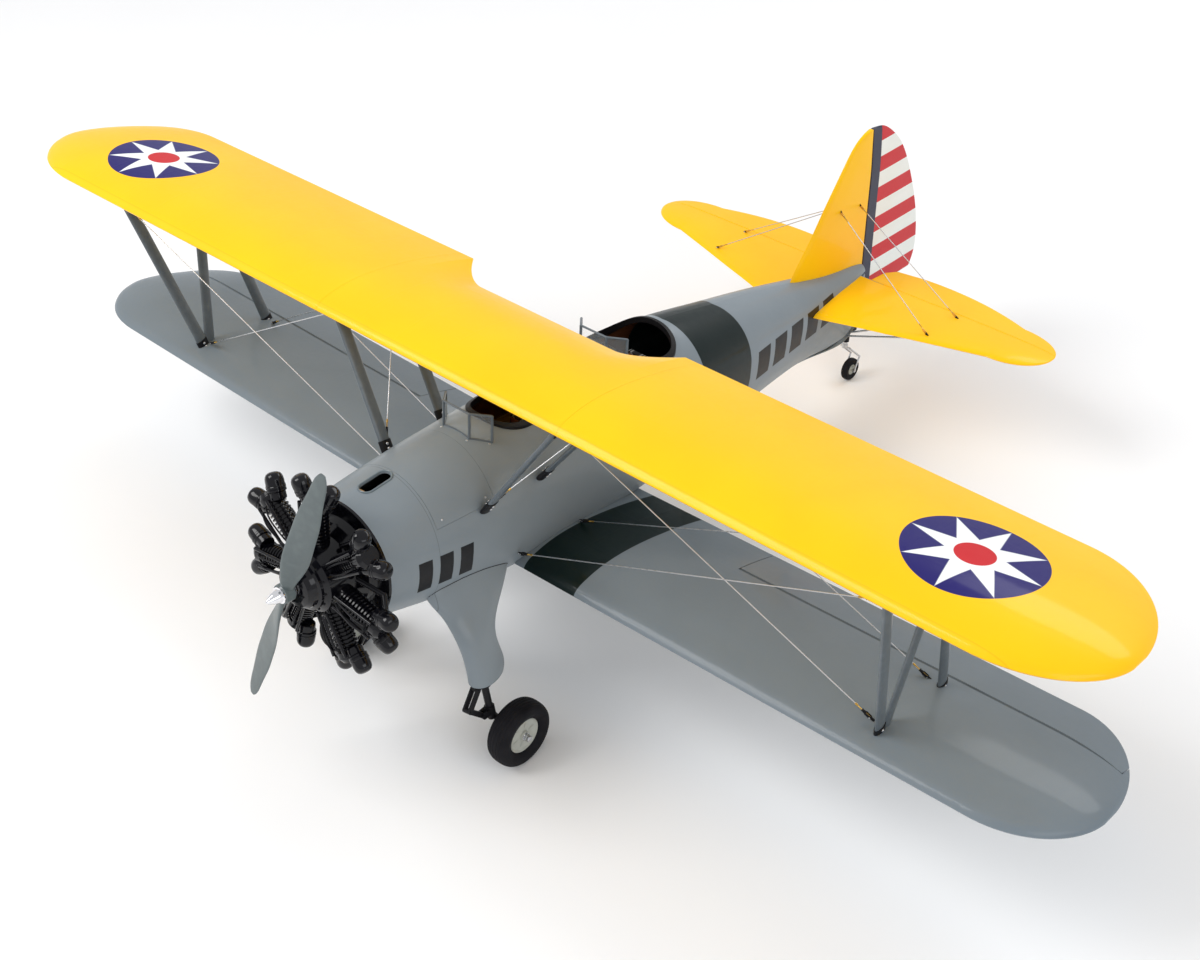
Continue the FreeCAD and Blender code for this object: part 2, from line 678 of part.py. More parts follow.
# Crankcase drum with a domed nose, hollow round the motor.
case_front = -232.0
case_outline = [(27, PLATE_Y - 4), (62, PLATE_Y - 4), (58, PLATE_Y - 14), (46, PLATE_Y - 24),
                (44, -208), (37, -213), (37, -217), (33, -219), (31.5, -225), (27, -230),
                (20, case_front), (4.6, case_front), (4.6, case_front + 3), (27, case_front + 8)]
crankcase = turn_profile("Crankcase", case_outline, Vector(0, 0, 0), Y_AXIS)


def finned_barrel():
    """One cylinder standing along +Z from the crankshaft: barrel, cooling fins and head."""
    base, top, radius = size("barrel_base"), size("barrel_top"), size("barrel_radius")
    count = int(size("fin_count"))
    pitch = (top - 52) / count
    core = radius - 3.0
    outline = [(0, base), (radius - 1, base), (radius - 1, 50), (core, 50)]
    for index in range(count):
        low = 52 + index * pitch
        outline += [(core, low), (radius, low + 0.4), (radius, low + pitch * 0.45),
                    (core, low + pitch * 0.55)]
    outline += [(core, top), (radius + 1.5, top), (radius + 1.5, top + 9), (radius - 2, top + 15),
                (0, top + 15)]
    return turn_profile("Barrel", outline, Vector(0, 0, 0), Z_AXIS)


def around_engine(shape, index):
    """A piece trimmed on the upright cylinder, turned to its place round the crankshaft."""
    copy = shape.copy()
    copy.Placement = Placement(Vector(), Rotation(Y_AXIS, index * 360.0 / count))
    return copy


def rocker_box(side):
    """One of two rocker boxes leaning apart across the head of the upright cylinder."""
    radius, length = size("rocker_radius"), size("rocker_length")
    lean = Vector(side * 0.42, 0.15 * side, 0.9).normalize()
    start = Vector(side * 12.5, STATION, size("barrel_top") - 1)
    body = Part.makeCylinder(radius, length - radius, start, lean)
    return body.fuse(Part.makeSphere(radius, start + lean * (length - radius)))


def intake_pipe():
    """A pipe from the back of the crankcase up behind the barrel and into its head."""
    radius = 3.6
    foot, knee, head = Vector(-20, 14, 47), Vector(-19, 24, 86), Vector(-6, 12, 106)
    foot, knee, head = [point + Vector(0, STATION, 0) for point in (foot, knee, head)]
    pipe = Part.makeCylinder(radius, (knee - foot).Length, foot, knee - foot)
    pipe = pipe.fuse([Part.makeSphere(radius, knee),
                      Part.makeCylinder(radius, (head - knee).Length, knee, head - knee)])
    return pipe


count = int(size("cylinder_count"))
barrel = finned_barrel()
barrel.Placement = Placement(Vector(0, STATION, 0), Rotation())
barrel = barrel.cut(crankcase)
rockers = [trimmed(rocker_box(side), [barrel]) for side in (-1, 1)]
rockers[1] = trimmed(rockers[1], [rockers[0]])
head_solids = [barrel] + rockers + [crankcase]
push_tubes = [trimmed(Part.makeCylinder(2.2, 62, Vector(side * 9, STATION - 19, 46),
                                        Vector(side * 0.06, 0.05, 1)), head_solids)
              for side in (-1, 1)]
pipe = trimmed(intake_pipe(), head_solids)
plumbing = push_tubes + [pipe]


def ring_of(name, shapes):
    """The same pieces repeated on every cylinder, as one sub-part of separate solids."""
    title = name.title().replace("_", "")
    pieces = [shape_piece("%s%d_%d" % (title, index, order), around_engine(shape, index))
              for index in range(count) for order, shape in enumerate(shapes)]
    return finish(group(title, pieces), name)


finish(shape_piece("CrankcaseDrum", crankcase), "engine_crankcase")
ring_of("engine_cylinders", [barrel])
ring_of("rocker_boxes", rockers)
ring_of("engine_pipes", plumbing)

# Motor: stator on a tube inside a bell that turns with the shaft.
SHAFT = size("shaft_radius")
BELL = size("motor_radius")
motor_back, motor_front = -176.0, -212.0
stator_outline = [(SHAFT + SHAFT_GAP, -174), (9, -174), (9, motor_back - 4), (BELL - 2.6, motor_back - 6),
                  (BELL - 2.6, motor_front + 7), (7, motor_front + 7), (7, motor_front + 5),
                  (SHAFT + SHAFT_GAP, motor_front + 5)]
stator = turn_profile("Stator", stator_outline, Vector(0, 0, 0), Y_AXIS)
flange = turn_profile("MotorFlange", [(6, -170), (22, -170), (22, -174), (6, -174)],
                      Vector(0, 0, 0), Y_AXIS)
stator = shape_piece("MotorStator", stator.fuse(flange))
bell_outline = [(SHAFT, motor_front), (BELL - 2, motor_front), (BELL, motor_front + 2),
                (BELL, motor_back - 5), (BELL - 1.6, motor_back - 5), (BELL - 1.6, motor_front + 4),
                (SHAFT, motor_front + 4)]
finish(shape_piece("MotorBell", turn_profile("Bell", bell_outline, Vector(0, 0, 0), Y_AXIS)),
       "motor_bell")
finish(cylinder("PropShaft", Vector(0, -264, 0), Y_AXIS, link("shaft_radius"), 96), "prop_shaft")

FIREWALL_Y = -118.0
slab = box("FirewallSlab", Vector(-120, FIREWALL_Y, -120), 240, 5, 240)
bulkhead = common("FirewallDisc", slab, shape_piece("InnerForm", inner_form))
standoff_radius = 15.0
bolts, standoffs = [], []
for index in range(4):
    angle = math.radians(45 + 90 * index)
    x, z = standoff_radius * math.cos(angle), standoff_radius * math.sin(angle)
    bolts.append(cylinder("BoltHole%d" % index, Vector(x, FIREWALL_Y - 1, z), Y_AXIS, 2.5, 8))
    standoffs.append(cylinder("Standoff%d" % index, Vector(x, -170, z), Y_AXIS, 4.0,
                              FIREWALL_Y + 170))
bolts.append(cylinder("CableHole", Vector(0, FIREWALL_Y - 1, -40), Y_AXIS, 9.0, 8))
finish(cut("Firewall", bulkhead, bolts), "firewall")
finish(group("MotorMount", [stator] + standoffs), "motor_stator_and_standoffs")


def blade_section(radius, chord, thickness, pitch):
    """A lens-shaped blade section with sharp edges at a radius, set at its pitch angle."""
    steps = 8
    turn = Rotation(Z_AXIS, pitch)
    faces = []
    for face in (1, -1):
        points = []
        for step in range(steps + 1):
            angle = math.pi * step / steps
            deep = face * thickness / 2 * math.sin(angle)
            points.append(turn.multVec(Vector(chord / 2 * math.cos(angle), deep, radius)))
        curve = Part.BSplineCurve()
        curve.interpolate(points)
        faces.append(curve.toShape())
    return Part.Wire(faces)


# radius, chord and thickness along the blade
BLADE = ((8, 17, 9), (20, 20, 7.5), (45, 30, 6), (80, 36, 4.6), (120, 35, 3.6), (165, 29, 2.8),
         (200, 22, 2.2), (220, 15, 1.8), (228, 7, 1.2))


def propeller():
    """Two twisted blades on a round hub, standing along +Z at the crankshaft."""
    pitch_length = 200.0
    wires = []
    for radius, chord, thickness in BLADE:
        pitch = math.degrees(math.atan(pitch_length / (2 * math.pi * max(radius, 38))))
        wires.append(blade_section(radius, chord, thickness, pitch))
    blade = Part.makeLoft(wires, True, False)
    hub = Part.makeCylinder(size("hub_radius"), size("hub_thickness"),
                            Vector(0, -size("hub_thickness") / 2, 0), Y_AXIS)
    other = blade.copy()
    other.Placement = Placement(Vector(), Rotation(Y_AXIS, 180))
    whole = hub.fuse(blade).fuse(other)
    return whole.cut(Part.makeCylinder(SHAFT, 60, Vector(0, -30, 0), Y_AXIS))


PROP_ANGLE = 22.0
prop = propeller()
prop.Placement = Placement(Vector(0, size("prop_station"), 0), Rotation(Y_AXIS, PROP_ANGLE))
prop = shape_piece("Propeller", prop)
finish(prop, "propeller")
nut_back = size("prop_station") - size("hub_thickness") / 2
nut_tip = size("prop_station") - size("nut_length") - 2.5
nut_outline = [(0, nut_tip), (2.2, nut_tip + 1.2), (6.6, nut_tip + 10), (8.4, nut_tip + 17),
               (8.8, nut_back - 3), (11, nut_back - 2.5), (11, nut_back), (SHAFT, nut_back),
               (SHAFT, -264), (0, -264)]
spacer_outline = ring_profile(SHAFT, 10.0, nut_back + size("hub_thickness"), case_front - 0.8)
finish(group("PropNut", [
    shape_piece("NutBody", turn_profile("Nut", nut_outline, Vector(0, 0, 0), Y_AXIS)),
    shape_piece("PropWasher", turn_profile("Washer", spacer_outline, Vector(0, 0, 0), Y_AXIS))]),
    "prop_nut_and_washer")

# ---------------------------------------------------------------- struts and rigging

def streamline_bar(start, end, chord=None, thickness=None):
    """A straight strut of oval section, its long side in the airflow."""
    chord = chord or size("strut_chord")
    thickness = thickness or size("strut_thickness")
    axis = (end - start).normalize()
    aft = (Y_AXIS - axis * axis.dot(Y_AXIS)).normalize()
    across = axis.cross(aft)
    oval = Part.Ellipse(start + aft * (chord / 2), start + across * (thickness / 2), start)
    return Part.Face(Part.Wire([oval.toShape()])).extrude(end - start)


def along(start, end, distance):
    return start + (end - start).normalize() * distance


CABANE_FRONT = (Vector(92, 10, 44), Vector(199, 26, 208))
CABANE_REAR = (Vector(93, 112, 46), Vector(207, 134, 203))
N_FRONT = (Vector(627, 116, -62), Vector(659, 25, 208))
N_REAR = (Vector(632, 245, -72), Vector(654, 160, 202))
N_DIAGONAL = (Vector(627.5, 126, -62), Vector(655, 148, 203))
FITTING_LENGTH = 15.0

doc.recompute()


def unstood(piece):
    """A finished sub-part's shape back in the level frame."""
    shape = piece.Shape.copy()
    shape.Placement = STANCE.inverse().multiply(shape.Placement)
    return shape


def labelled(label):
    return unstood([piece for piece in subparts if piece.Label == label][0])


solid_airframe = [labelled(name) for name in ("upper_wing_left", "upper_wing_centre",
                                              "lower_wing_left")] + [fuselage_form]


def numbered(name, shapes):
    """Several separate solids as one sub-part."""
    title = name.title().replace("_", "")
    return finish(group(title, [shape_piece("%s%d" % (title, index), shape)
                                for index, shape in enumerate(shapes)]), name)


def both_sides(shapes):
    return shapes + [flipped(shape) for shape in shapes]


fittings, port_struts = [], []
for family, members in (("cabane", (CABANE_FRONT, CABANE_REAR)),
                        ("interplane", (N_FRONT, N_REAR, N_DIAGONAL))):
    struts = []
    for low, high in members:
        bar = trimmed(streamline_bar(low, high), solid_airframe)
        if (low, high) != N_DIAGONAL:
            shoe = streamline_bar(along(low, high, -6), along(low, high, FITTING_LENGTH), 20.0, 9.0)
            bar = trimmed(bar, [shoe])
            fittings.append(trimmed(shoe, solid_airframe))
        struts.append(bar)
    if family == "interplane":
        struts[2] = trimmed(struts[2], struts[:2] + fittings[-2:])
        numbered("interplane_struts_left", struts)
        numbered("interplane_struts_right", [flipped(strut) for strut in struts])
    else:
        numbered("cabane_struts", both_sides(struts))
    port_struts += struts
numbered("strut_fittings", both_sides(fittings))

# wires as pairs of ends on the port side
FLYING_WIRES = (
    (Vector(94, 70, -58), Vector(646, 24, 196)), (Vector(94, 190, -66), Vector(642, 158, 190)),
    (Vector(212, 30, 196), Vector(612, 118, -50)), (Vector(214, 142, 190), Vector(614, 240, -62)),
    (Vector(101, 16, 58), Vector(200, 126, 190)))
TAIL_WIRES = (
    (Vector(7, 880, 133), Vector(203, 852, 7)), (Vector(7, 934, 127), Vector(207, 931, 7)))
TAIL_BRACES = (
    (Vector(12, 935, -108), Vector(196, 856, -5.5)), (Vector(11, 946, -106), Vector(192, 928, -5.5)))
CLEVIS = 16.0


def wire_set(wires, neighbours):
    """Thin rods with a clevis on each end, trimmed to the solids that they are fastened to."""
    rods, ends = [], []
    for low, high in wires:
        length = (high - low).Length
        rods.append(Part.makeCylinder(size("wire_radius"), length - 2 * CLEVIS - 4,
                                      along(low, high, CLEVIS + 2), high - low))
        ends.append(Part.makeCylinder(2.0, CLEVIS, along(low, high, 2), high - low))
        ends.append(Part.makeCylinder(2.0, CLEVIS, along(high, low, 2), low - high))
    return [trimmed(rod_shape, neighbours) for rod_shape in rods], \
        [trimmed(end, neighbours) for end in ends]


tail_solids = [labelled("stabilizer"), labelled("fin"), fuselage_form]
wires, clevises = wire_set(FLYING_WIRES, solid_airframe + fittings + port_struts)
tail_rods, tail_ends = wire_set(TAIL_WIRES, tail_solids)
braces = [trimmed(Part.makeCylinder(1.6, (high - low).Length, low, high - low), tail_solids)
          for low, high in TAIL_BRACES]
numbered("flying_wires", both_sides(wires))
numbered("wire_clevises", both_sides(clevises + tail_ends))
numbered("tail_bracing", both_sides(tail_rods + braces))

# ---------------------------------------------------------------- main landing gear

LEG_TOP = Vector(112, -45, -85)
LEG_FOOT = Vector(130, -36, -186)
LEG_DOWN = (LEG_FOOT - LEG_TOP).normalize()
LEG_FORE = (Vector(0, -1, 0) - LEG_DOWN * LEG_DOWN.dot(Vector(0, -1, 0))).normalize()
LEG_OUT = LEG_FORE.cross(LEG_DOWN)
OLEO = size("oleo_radius")
PISTON = size("piston_radius")
GAP = size("running_gap")


def leg_point(down, fore=0.0, out=0.0):
    """A point by its distance below the fairing's foot, forward and outboard of the leg's axis."""
    return LEG_FOOT + LEG_DOWN * down + LEG_FORE * fore + LEG_OUT * out


def fairing_section(centre, length, width):
    """An oval blunt at the front and drawn out aft."""
    points = []
    count = 16
    for step in range(count):
        angle = 2 * math.pi * step / count
        fore = length / 2 * math.cos(angle)
        across = width / 2 * math.sin(angle) * (1 - 0.25 * math.cos(angle + math.pi))
        points.append(centre + Vector(across, -fore, 0))
    curve = Part.BSplineCurve()
    curve.interpolate(points, PeriodicFlag=True)
    return Part.Wire([curve.toShape()])


# centre, length and width of the fairing from the belly down to the cut foot
FAIRING = ((Vector(58, 7, -42), 130, 40), (Vector(71, -4, -62), 146, 37),
           (Vector(82, -8, -84), 122, 38), (Vector(99, -21, -108), 82, 37),
           (Vector(112, -29, -128), 62, 34), (Vector(120, -29, -148), 58, 33),
           (Vector(130, -29, -186), 57, 31))
fairing_whole = Part.makeLoft([fairing_section(*row) for row in FAIRING], True, False)
oleo_bore = Part.makeCylinder(OLEO, 70, leg_point(-60), LEG_DOWN)
strut_bore = Part.makeCylinder(PISTON + GAP, 66, leg_point(-56), LEG_DOWN)
fairing_shape = fairing_whole.cut([oleo_bore, fuselage_form, labelled("lower_wing_left")])
lug_reach, lug_half = 15.0, 3.0
link_thick = 3.0
link_gap = 0.4
cross_pin = 1.5


def lug(down, half):
    """A flat ear standing forward of the leg, bored across for a link pin."""
    centre = leg_point(down, 0)
    corners = [leg_point(down - 4, 0, -half), leg_point(down - 4, lug_reach, -half),
               leg_point(down + 4, lug_reach, -half), leg_point(down + 4, 0, -half)]
    plate_shape = Part.Face(Part.makePolygon(corners + corners[:1])).extrude(LEG_OUT * 2 * half)
    nose = Part.makeCylinder(4.0, 2 * half, leg_point(down, lug_reach, -half), LEG_OUT)
    return plate_shape.fuse(nose)


def pin_at(down, fore, radius, half):
    return Part.makeCylinder(radius, 2 * half, leg_point(down, fore, -half), LEG_OUT)


upper_pin_down, lower_pin_down = 6.0, 50.0
knee_fore = lug_reach + 21.0
knee_down = (upper_pin_down + lower_pin_down) / 2
outer_half = lug_half + link_gap + link_thick

oleo_shape = Part.makeCylinder(OLEO, 70, leg_point(-60), LEG_DOWN)
collar = Part.makeCylinder(OLEO + 2, 8, leg_point(2), LEG_DOWN)
oleo_shape = oleo_shape.fuse([collar, lug(upper_pin_down, lug_half)]).cut(
    [strut_bore.fuse(Part.makeCylinder(PISTON + GAP, 30, leg_point(-10), LEG_DOWN)),
     pin_at(upper_pin_down, lug_reach, cross_pin + GAP, 20)])

wheel_centre = Vector(size("wheel_track_half"), size("wheel_station"), size("wheel_drop"))
arm_inner = Vector(143.5, wheel_centre.y, wheel_centre.z)
piston_shape = Part.makeCylinder(PISTON, 64 + 44, leg_point(-44), LEG_DOWN)
foot_collar = Part.makeCylinder(7.0, 16, leg_point(44), LEG_DOWN)
arm = Part.makeCylinder(4.6, (arm_inner - leg_point(56)).Length, leg_point(56),
                        arm_inner - leg_point(56))
boss = Part.makeCylinder(5.5, 8.0, Vector(139.5, wheel_centre.y, wheel_centre.z), X_AXIS)
axle = Part.makeCylinder(size("axle_radius"), 47, Vector(140, wheel_centre.y, wheel_centre.z),
                         X_AXIS)
axle_head = Part.makeCylinder(4.4, 3.2, Vector(184.4, wheel_centre.y, wheel_centre.z), X_AXIS)
ears = [lug(lower_pin_down, outer_half).cut(
    Part.makeCompound([Part.Face(Part.makePolygon([
        leg_point(lower_pin_down - 9, 8.0, -lug_half - link_gap),
        leg_point(lower_pin_down - 9, 30, -lug_half - link_gap),
        leg_point(lower_pin_down + 9, 30, -lug_half - link_gap),
        leg_point(lower_pin_down + 9, 8.0, -lug_half - link_gap),
        leg_point(lower_pin_down - 9, 8.0, -lug_half - link_gap)])).extrude(
            LEG_OUT * 2 * (lug_half + link_gap))]))]
piston_shape = piston_shape.fuse([foot_collar, arm, boss, axle, axle_head,
                                  pin_at(lower_pin_down, lug_reach, cross_pin, outer_half)] + ears)


def link_bar(start, end, low, high, bores):
    """A flat link between two pins, from low to high across the leg, with a bore at each pin."""
    run = (end - start).normalize()
    side_way = run.cross(LEG_OUT).normalize() * 3.6
    base = [start + side_way, end + side_way, end - side_way, start - side_way]
    base = [point + LEG_OUT * low for point in base]
    bar = Part.Face(Part.makePolygon(base + base[:1])).extrude(LEG_OUT * (high - low))
    for centre in (start, end):
        bar = bar.fuse(Part.makeCylinder(3.6, high - low, centre + LEG_OUT * low, LEG_OUT))
    for centre, radius in bores:
        bar = bar.cut(Part.makeCylinder(radius, 40, centre - LEG_OUT * 20, LEG_OUT))
    return bar


upper_pin = leg_point(upper_pin_down, lug_reach)
lower_pin = leg_point(lower_pin_down, lug_reach)
knee = leg_point(knee_down, knee_fore)
inner = lug_half + link_gap
upper_link = link_bar(upper_pin, knee, inner, outer_half, [])
upper_link = upper_link.fuse(link_bar(upper_pin, knee, -outer_half, -inner, []))
upper_link = upper_link.fuse([pin_at(upper_pin_down, lug_reach, cross_pin, outer_half + 1),
                              pin_at(knee_down, knee_fore, cross_pin, outer_half + 1)])
lower_link = link_bar(lower_pin, knee, -lug_half, lug_half,
                      [(lower_pin, cross_pin + GAP), (knee, cross_pin + 0.6)])

tyre_r, tyre_w, disc_r = size("tyre_radius"), size("tyre_width"), size("hub_disc_radius")


def tyre_outline(radius, width, inner_radius):
    """Half of a tyre's section: flat seat on the hub, round shoulders, slightly flat tread."""
    half = width / 2
    points = [(inner_radius, -half * 0.62), (inner_radius + 2, -half * 0.8)]
    steps = 10
    middle = (inner_radius + radius) / 2 + 1
    reach = radius - middle
    for step in range(steps + 1):
        angle = math.radians(-100 + 200 * step / steps)
        across = half * math.copysign(abs(math.sin(angle)) ** 0.8, math.sin(angle))
        out = middle + reach * math.copysign(abs(math.cos(angle)) ** 0.8, math.cos(angle))
        points.append((out, across))
    points += [(inner_radius + 2, half * 0.8), (inner_radius, half * 0.62)]
    return points


def wheel(radius, width, hub_radius, bore, centre):
    tyre = turn_profile("Tyre", tyre_outline(radius, width, hub_radius), centre, X_AXIS)
    half = width / 2
    hub_outline = [(bore, -half * 0.75), (bore + 4, -half * 0.75), (bore + 4, -half * 0.5),
                   (hub_radius - 3, -half * 0.5), (hub_radius - 1.5, -half * 0.62),
                   (hub_radius, -half * 0.62), (hub_radius, half * 0.62),
                   (hub_radius - 1.5, half * 0.62), (hub_radius - 3, half * 0.5),
                   (bore + 4, half * 0.5), (bore + 4, half * 0.75), (bore, half * 0.75)]
    hub = turn_profile("Hub", hub_outline, centre, X_AXIS)
    return tyre, hub


tyre_shape, hub_shape = wheel(tyre_r, tyre_w, disc_r, size("axle_radius") + GAP, wheel_centre)
GEAR = (("gear_leg_fairing", fairing_shape),
        ("oleo_piston", piston_shape), ("scissor_upper", upper_link),
        ("scissor_lower", lower_link), ("tyre", tyre_shape), ("wheel_hub", hub_shape))
for label, side in SIDES:
    for part_name, form in GEAR:
        whole = form if side > 0 else flipped(form)
        finish(shape_piece(part_name.title().replace("_", "") + label.title(), whole),
               part_name + "_" + label)

numbered("oleo_cylinders", both_sides([oleo_shape]))

# ---------------------------------------------------------------- tail wheel

tail_axle = Vector(0, size("tail_wheel_station"), size("tail_wheel_drop"))
POST = Vector(0, 955.0, 0)
post_top, crown = -112.0, -140.0
bracket = Part.makeCylinder(6.0, 30, POST + Vector(0, 0, -130), Z_AXIS)
bracket = bracket.fuse(Part.makeBox(16, 46, 12, Vector(-8, 926, -112)))
bracket = bracket.cut([fuselage_form, Part.makeCylinder(3.0 + GAP, 60, POST + Vector(0, 0, -150),
                                                        Z_AXIS)])
finish(shape_piece("TailBracket", trimmed(bracket, [])), "tail_wheel_bracket")
fork = Part.makeCylinder(3.0, post_top - crown, POST + Vector(0, 0, crown), Z_AXIS)
fork = fork.fuse(Part.makeCylinder(5.0, 6, POST + Vector(0, 0, crown - 2), Z_AXIS))
leg_half = 9.0
for side in (-1, 1):
    shoulder = Vector(side * leg_half, 957, crown - 2)
    bend = Vector(side * leg_half, 992, tail_axle.z + 24)
    foot = Vector(side * leg_half, tail_axle.y, tail_axle.z)
    pieces = [Part.makeCylinder(1.6, (bend - shoulder).Length, shoulder, bend - shoulder),
              Part.makeSphere(1.6, bend),
              Part.makeCylinder(1.6, (foot - bend).Length, bend, foot - bend),
              Part.makeCylinder(3.4, 2.4, foot - Vector(1.2, 0, 0), X_AXIS)]
    fork = fork.fuse(pieces)
fork = fork.fuse(Part.makeCylinder(1.8, 2 * leg_half, Vector(-leg_half, 957, crown - 2), X_AXIS))
fork = fork.fuse(Part.makeCylinder(1.5, 2 * leg_half + 4, tail_axle - Vector(leg_half + 2, 0, 0),
                                   X_AXIS))
finish(shape_piece("TailFork", fork), "tail_wheel_fork")
tail_tyre, tail_hub = wheel(size("tail_tyre_radius"), size("tail_tyre_width"), 9.0, 1.5 + GAP,
                            tail_axle)
numbered("tail_wheel", [tail_tyre, tail_hub])

# ---------------------------------------------------------------- cockpits and equipment

floor = box("CockpitFloorSlab", Vector(-100, 70, 2), 200, 380, 3)
cabin_form = shape_piece("CabinForm", inner_form)
trays = [common("CockpitFloor", floor, cabin_form)]
seats, panels = [], []
for index, cockpit in enumerate((FRONT_COCKPIT, REAR_COCKPIT)):
    centre = cockpit[0]
    pan = Part.makeBox(56, 44, 10, Vector(-28, centre - 6, 5))
    back = Part.makeBox(56, 7, 52, Vector(-28, centre + 34, 5))
    seats.append(shape_piece("Seat%d" % index, pan.fuse(back)))
    dash = prism([(centre - 62, 5), (centre - 56, 5), (centre - 56, 160), (centre - 62, 160)],
                 -100, 200)
    dash = dash.common(inner_form).cut(rims[index])
    panels.append(shape_piece("Panel%d" % index, trimmed(dash, [])))
finish(group("CockpitInterior", seats + panels), "cockpit_seats_and_panels")


def windscreen(base_y, half_width, height, rake):
    """A raked three-sided pane standing on the fuselage, and the rim frame along its top."""
    pane = 1.2
    reach = 22.0
    outline = [(-half_width, base_y + reach), (-half_width * 0.55, base_y),
               (half_width * 0.55, base_y), (half_width, base_y + reach)]
    inner_line = [(half_width - pane, base_y + reach), (half_width * 0.55 - pane * 0.6,
                  base_y + pane), (-half_width * 0.55 + pane * 0.6, base_y + pane),
                  (-half_width + pane, base_y + reach)]
    walls = prism(outline + inner_line, 60, 120, "xy")
    top = section_at(base_y)[2]
    cap = Part.makeBox(300, 200, 100, Vector(-150, base_y - 60, top + height))
    cap.rotate(Vector(0, base_y, top + height), X_AXIS, -rake)
    glass = walls.cut([cap, fuselage_form])
    return trimmed(glass, [])


SCREENS = ((46.0, 42.0, 34.0, 12.0), (306.0, 42.0, 32.0, 12.0))
finish(group("Screens", [shape_piece("Screen%d" % i, windscreen(*row))
                         for i, row in enumerate(SCREENS)]), "windscreens")

tray_top = -60.0
tray = box("TraySlab", Vector(-110, -110, tray_top), 220, 160, 4)
trays.append(common("BatteryTray", tray, shape_piece("TrayForm", inner_form)))
finish(box("Battery", Vector(-24, -100, tray_top + 4), 48, 140, 42), "battery_pack")
controller = box("MotorController", Vector(-19, -104, tray_top - 16), 38, 66, 15)
shelf = box("ServoShelfSlab", Vector(-110, 200, -70), 220, 110, 4)
trays.append(common("ServoShelf", shelf, shape_piece("ShelfForm", inner_form)))
finish(group("Trays", trays), "plywood_trays")
for side in (-1, 1):
    base = Vector(side * 22 - 10, 262, -66)
    servo = Part.makeBox(20, 40, 36, base).fuse(
        Part.makeCylinder(5, 6, base + Vector(10, 10, 36), Z_AXIS))
    servos.append(shape_piece("TailServo%d" % side, servo))
finish(group("Servos", servos), "servos")
finish(group("RadioGear", [controller, box("Receiver", Vector(-18, 212, -66), 36, 28, 15)]),
       "receiver_and_motor_controller")

belly_outline = [(-34, 120), (34, 120), (34, 300), (-34, 300)]
belly_low = -119.0
belly = prism(belly_outline, belly_low, 8.0, "xy").cut(fuselage_form)
finish(shape_piece("BellyPlate", trimmed(belly, [])), "belly_plate")

# ---------------------------------------------------------------- checks and export

doc.recompute()
problems = []
for item in doc.Objects:
    if "Invalid" in item.State or "Error" in item.State:
        problems.append("%s: %s" % (item.Name, item.State))
for piece in subparts:
    if piece.Shape.isNull() or not piece.Shape.isValid() or not piece.Shape.Solids:
        problems.append("%s: bad shape" % piece.Label)
    if len(piece.Label) >= 60:
        problems.append("%s: name too long" % piece.Label)
if problems:
    raise RuntimeError("; ".join(problems))
for piece in subparts:
    piece.Shape.exportStep(os.path.join("parts", piece.Label + ".step"))
bounds = FreeCAD.BoundBox()
for piece in subparts:
    bounds.add(piece.Shape.BoundBox)
    print("%-28s %3d solid(s) %10.0f mm3" % (piece.Label, len(piece.Shape.Solids),
                                             piece.Shape.Volume))
print(len(subparts), "sub-parts; box", bounds)
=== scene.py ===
import math

import bmesh
import bpy
from mathutils import Matrix, Vector
from mathutils.bvhtree import BVHTree


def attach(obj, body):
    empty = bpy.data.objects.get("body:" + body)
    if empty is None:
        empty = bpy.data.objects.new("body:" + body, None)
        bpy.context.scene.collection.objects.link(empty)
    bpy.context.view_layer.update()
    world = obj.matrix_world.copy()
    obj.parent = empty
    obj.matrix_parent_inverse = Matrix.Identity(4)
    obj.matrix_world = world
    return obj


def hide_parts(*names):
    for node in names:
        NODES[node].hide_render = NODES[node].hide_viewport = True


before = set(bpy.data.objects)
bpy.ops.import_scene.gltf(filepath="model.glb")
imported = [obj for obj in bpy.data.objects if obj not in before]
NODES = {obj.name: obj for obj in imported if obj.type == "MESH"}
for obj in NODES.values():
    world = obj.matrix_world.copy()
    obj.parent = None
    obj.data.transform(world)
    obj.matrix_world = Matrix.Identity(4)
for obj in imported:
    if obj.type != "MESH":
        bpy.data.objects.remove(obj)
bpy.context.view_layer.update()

# Lengths are in millimetres in the level aircraft frame: X to port, Y aft, Z up, the thrust line
# at Z = 0 and the upper wing's leading edge at Y = 0. LEVEL takes them to the row frame.
MM = 0.001
TILT = math.radians(6.22561947)
LEVEL_ORIGIN = (0, -0.42796116, 0.31973344)
LEVEL = (Matrix.Translation(LEVEL_ORIGIN) @ Matrix.Rotation(-TILT, 4, "X")
         @ Matrix.Scale(MM, 4))
BACK = LEVEL.inverted()
X, Y, Z = Vector((1, 0, 0)), Vector((0, 1, 0)), Vector((0, 0, 1))

INCIDENCE = math.radians(3.0)
DIHEDRAL = math.radians(1.49)
UPPER_WING_ROOT = (0, 0, 211.1)
LOWER_WING_ROOT = (0, 78.1, -90.2)
ELEVATOR_HINGE_Y = 944.0
RUDDER_HINGE_Y = 966.0
RUDDER_SWEEP = math.radians(3.8)
SPARS = (78.0, 176.0)
TAIL_SPARS = (905.0, 960.0)
RUDDER_STRIPE = 54.2
COCKPITS = (140.0, 383.0)
SCREENS = ((46.0, 34.0), (306.0, 32.0))


# ---------------------------------------------------------------- material tools

